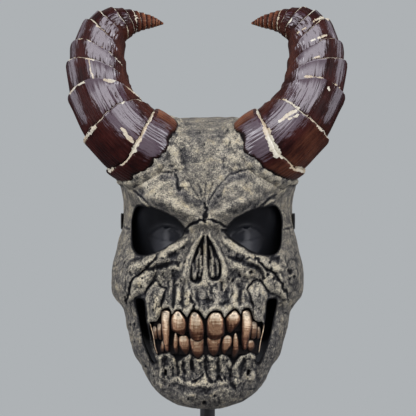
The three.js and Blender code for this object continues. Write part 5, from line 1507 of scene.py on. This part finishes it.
# How far out the mask's side stands at a depth, over the height of the strap.
def sideReach(y):
    low, high = (strapValues["height"] + side * strapValues["width"] / 2 for side in (-1, 1))
    z = np.arange(low, high + 1, 2)
    share = np.clip((backLine(z) - y) / (backLine(z) - frontLine(z)), 0, 1)
    return skinPoints(np.arccos(share ** (frontRoundness / 2)), z, 0, broadRelief)[:, 0].max()


# The strap's line from above: along the mask's side, straight to the head, round it and back again.
def strapPath():
    height, centreY, startY = strapValues["height"], strapValues["middle"], strapValues["startY"]
    x, y = headRing(height + strapValues["width"] / 2, around(48))
    wide, deep = x.max() + 3, y.max() + 2 - centreY
    temple = np.array([halfWidth(height) + clearance, backLine(height)])
    reach = math.hypot(temple[0] / wide, (temple[1] - centreY) / deep)
    leaves = math.atan2((temple[1] - centreY) / deep, temple[0] / wide) + math.acos(1 / reach)
    front = [(sideReach(at) + clearance, at) for at in (startY, (startY + temple[1]) / 2, temple[1])]
    angle = np.linspace(leaves, math.pi / 2, 40)
    half = np.vstack([front, np.stack([wide * np.cos(angle), centreY + deep * np.sin(angle)], -1)])
    return np.vstack([half, (half[:-1] * [-1, 1])[::-1]])


# A flat band with rounded edges carried along the path: superellipse section of width by thickness.
def headStrap(material):
    line = strapPath()
    length = lengthAlong(line)
    at = np.linspace(0, length[-1], strapValues["count"])
    line = np.stack([np.interp(at, length, line[:, k]) for k in (0, 1)], -1)
    for _ in range(6):
        line[1:-1] = (line[:-2] + 2 * line[1:-1] + line[2:]) / 4
    run = np.gradient(line, axis=0)
    run /= np.linalg.norm(run, axis=1)[:, None]
    turn = around(strapValues["columns"])
    up = strapValues["width"] / 2 * signedPower(np.cos(turn), 0.6)
    off = strapValues["thick"] / 2 * (1 + 0.96 * signedPower(np.sin(turn), 0.5))
    edge = 1 - 0.02 * np.sin(at / 3.0)
    x = line[:, :1] + run[:, 1:] * off
    y = line[:, 1:] - run[:, :1] * off
    rings = np.stack([x, y, strapValues["height"] + up[None] * edge[:, None]], -1)
    made = tube("headStrap", rings, rings[0].mean(0), rings[-1].mean(0), material)
    along = np.concatenate([np.repeat(at, len(turn)), [0, at[-1]]])
    across = np.concatenate([np.tile(up, len(at)), [0, 0]])
    setMap(made, "weave", along, across)
    return made


# Woven elastic: ribs along the band and weft threads across it.
def elasticMaterial():
    made, tree = newMaterial("blackElastic")
    uv = mapOf(tree, "weave")
    ribs, weft = (
        put(tree, "ShaderNodeTexWave", {"Vector": uv, "Scale": scale, "Distortion": bent, "Detail": 1.0},
            bands_direction=direction).outputs["Fac"]
        for scale, bent, direction in ((0.9, 0.4, "Y"), (0.7, 0.6, "X")))
    weave = scaled(tree, weft, 0.4, ribs)
    colour = blendColours(tree, scaled(tree, weave, 0.7), *strapValues["blacks"])
    surface(tree, {"Base Color": colour, "Roughness": 0.85, "Normal": bumped(tree, weave, 0.8, 0.0005),
                   "Sheen Weight": 0.15})
    return made


finishPiece(headStrap(elasticMaterial()), "black_elastic", "head_strap")

# Stand: profiles of (radius, height)
standValues = dict(
    foot=[
        (0.5, -150), (104, -150), (109, -149.6), (110, -148.5), (110, -144.5), (109.6, -143.2),
        (108.4, -142.3), (106, -142), (22, -142), (19.4, -141.4), (18, -139.5), (16.6, -131.5),
        (15.9, -130.3), (14.6, -130), (7.9, -130), (7.7, -130.6), (7.7, -139.6), (0.5, -139.6)],
    rod=[(0.5, -139.5), (6.9, -139.5), (7.4, -139), (7.4, 77), (6.9, 77.5), (0.5, 77.5)],
    blacks=((0.008, 0.008, 0.009), (0.013, 0.013, 0.014)))


# Satin black paint: two near tones in patches and a fine grain.
def standMaterial():
    made, tree = newMaterial("standMetal")
    patches, fine = (mottled(tree, objectPlace(tree), scale) for scale in (900.0, 1800.0))
    colour = blendColours(tree, patches["Mask"], *standValues["blacks"])
    rough = scaled(tree, fine["Mask"], 0.05, scaled(tree, patches["Level"], 0.15, 0.38))
    height = scaled(tree, fine["Level"], 0.3, patches["Level"])
    surface(tree, {"Base Color": colour, "Roughness": rough, "Normal": bumped(tree, height, 0.2, 0.0002),
                   "Metallic": 0.1, "Specular IOR Level": 0.2})
    return made


standMetal = standMaterial()
finishPiece(lathe("standFoot", standValues["foot"], 128, standMetal), "stand_metal", "stand_foot", sharp=40)
finishPiece(lathe("standRod", standValues["rod"], 64, standMetal), "stand_metal", "stand_rod", sharp=40)

# Stage, light and camera
stageValues = dict(
    backdrop=(0.423, 0.445, 0.462), floor=(0.36, 0.365, 0.37), fill=0.06,
    lamps=[  # degrees to both sides, half width, degrees up, half height, soft edge, brightness
        (0, 62, 45, 24, 8, 4.0), (0, 48, -1, 22, 8, 0.8), (62, 6, 4, 26, 4, 5.0), (95, 28, 15, 30, 12, 1.5),
        (180, 50, 40, 25, 20, 0.5)])


# A pale disc that fades into the backdrop away from the foot.
def stageFloor():
    made, tree = newMaterial("paleFloor")
    place = objectPlace(tree)
    away = put(tree, "ShaderNodeVectorMath", {0: place}, operation="LENGTH").outputs["Value"]
    tone = mottled(tree, place, 30.0, 0.42, 0.6)
    colour = blendColours(tree, scaled(tree, tone["Mask"], 0.04), stageValues["floor"], (0.3, 0.3, 0.3))
    shown = maths(tree, "SUBTRACT", 1.0, between(tree, away, 0.45, 1.15))
    surface(tree, {"Base Color": colour, "Roughness": 0.8, "Alpha": shown})
    columns, under = 96, -chinHeight - 0.2
    radius = np.array([200.0, 600.0, 1200.0])[:, None, None]
    rings = radius * onCircle(around(columns)) + [0, 0, under]
    quads, fans = tubeFaces(len(rings), columns)
    points = np.vstack([rings.reshape(-1, 3), [0, 0, under]])
    makeMesh("floor", points, [quads, fans[:columns]], made)


# Soft light from all round: each lamp is a patch of the sky with soft edges, the camera sees the plain
# backdrop instead.
def studioLight():
    made = bpy.data.worlds.new("studio")
    scene.world = made
    made.use_nodes = True
    tree = made.node_tree
    tree.nodes.clear()
    direction = partsOf(tree, put(tree, "ShaderNodeTexCoord").outputs["Generated"])
    side = maths(tree, "ARCTAN2", maths(tree, "ABSOLUTE", direction[0]), scaled(tree, direction[1], -1.0))
    up = maths(tree, "ARCSINE", direction[2])
    total = stageValues["fill"]
    for turned, halfWide, high, halfTall, soft, bright in stageValues["lamps"]:
        shares = []
        for value, middle, half in ((side, turned, halfWide), (up, high, halfTall)):
            off = maths(tree, "ABSOLUTE", maths(tree, "SUBTRACT", value, math.radians(middle)))
            shares.append(between(tree, off, math.radians(half + soft), math.radians(max(half - soft, 0))))
        patch = scaled(tree, shares[0], shares[1])
        total = scaled(tree, patch, bright, total)
    lit = put(tree, "ShaderNodeBackground", {"Color": (0.97, 0.97, 1.03, 1), "Strength": total})
    plain = put(tree, "ShaderNodeBackground", {"Color": (*stageValues["backdrop"], 1), "Strength": 1.0})
    seen = put(tree, "ShaderNodeLightPath").outputs["Is Camera Ray"]
    shown = put(tree, "ShaderNodeMixShader", {0: seen, 1: lit.outputs[0], 2: plain.outputs[0]})
    put(tree, "ShaderNodeOutputWorld", {"Surface": shown.outputs[0]})


stageFloor()
studioLight()
scene.view_settings.view_transform = "Standard"

cameraValues = dict(away=2.2, azimuth=1.5, target=(0.0005, 0.0, 0.3463), sensor=36.0)
azimuth = math.radians(cameraValues["azimuth"])
target = Vector(cameraValues["target"])
lens = bpy.data.cameras.new("view")
lens.sensor_width = cameraValues["sensor"]
lens.lens = cameraValues["sensor"] * cameraValues["away"] * 1000 / 416  # one pixel is 1 mm at the target
lens.clip_start, lens.clip_end = 0.05, 40
eye = bpy.data.objects.new("view", lens)
eye.location = target + cameraValues["away"] * Vector((math.sin(azimuth), -math.cos(azimuth), 0))
eye.rotation_euler = (math.pi / 2, 0, azimuth)
scene.collection.objects.link(eye)
scene.camera = eye
print("stage, light and camera ready")
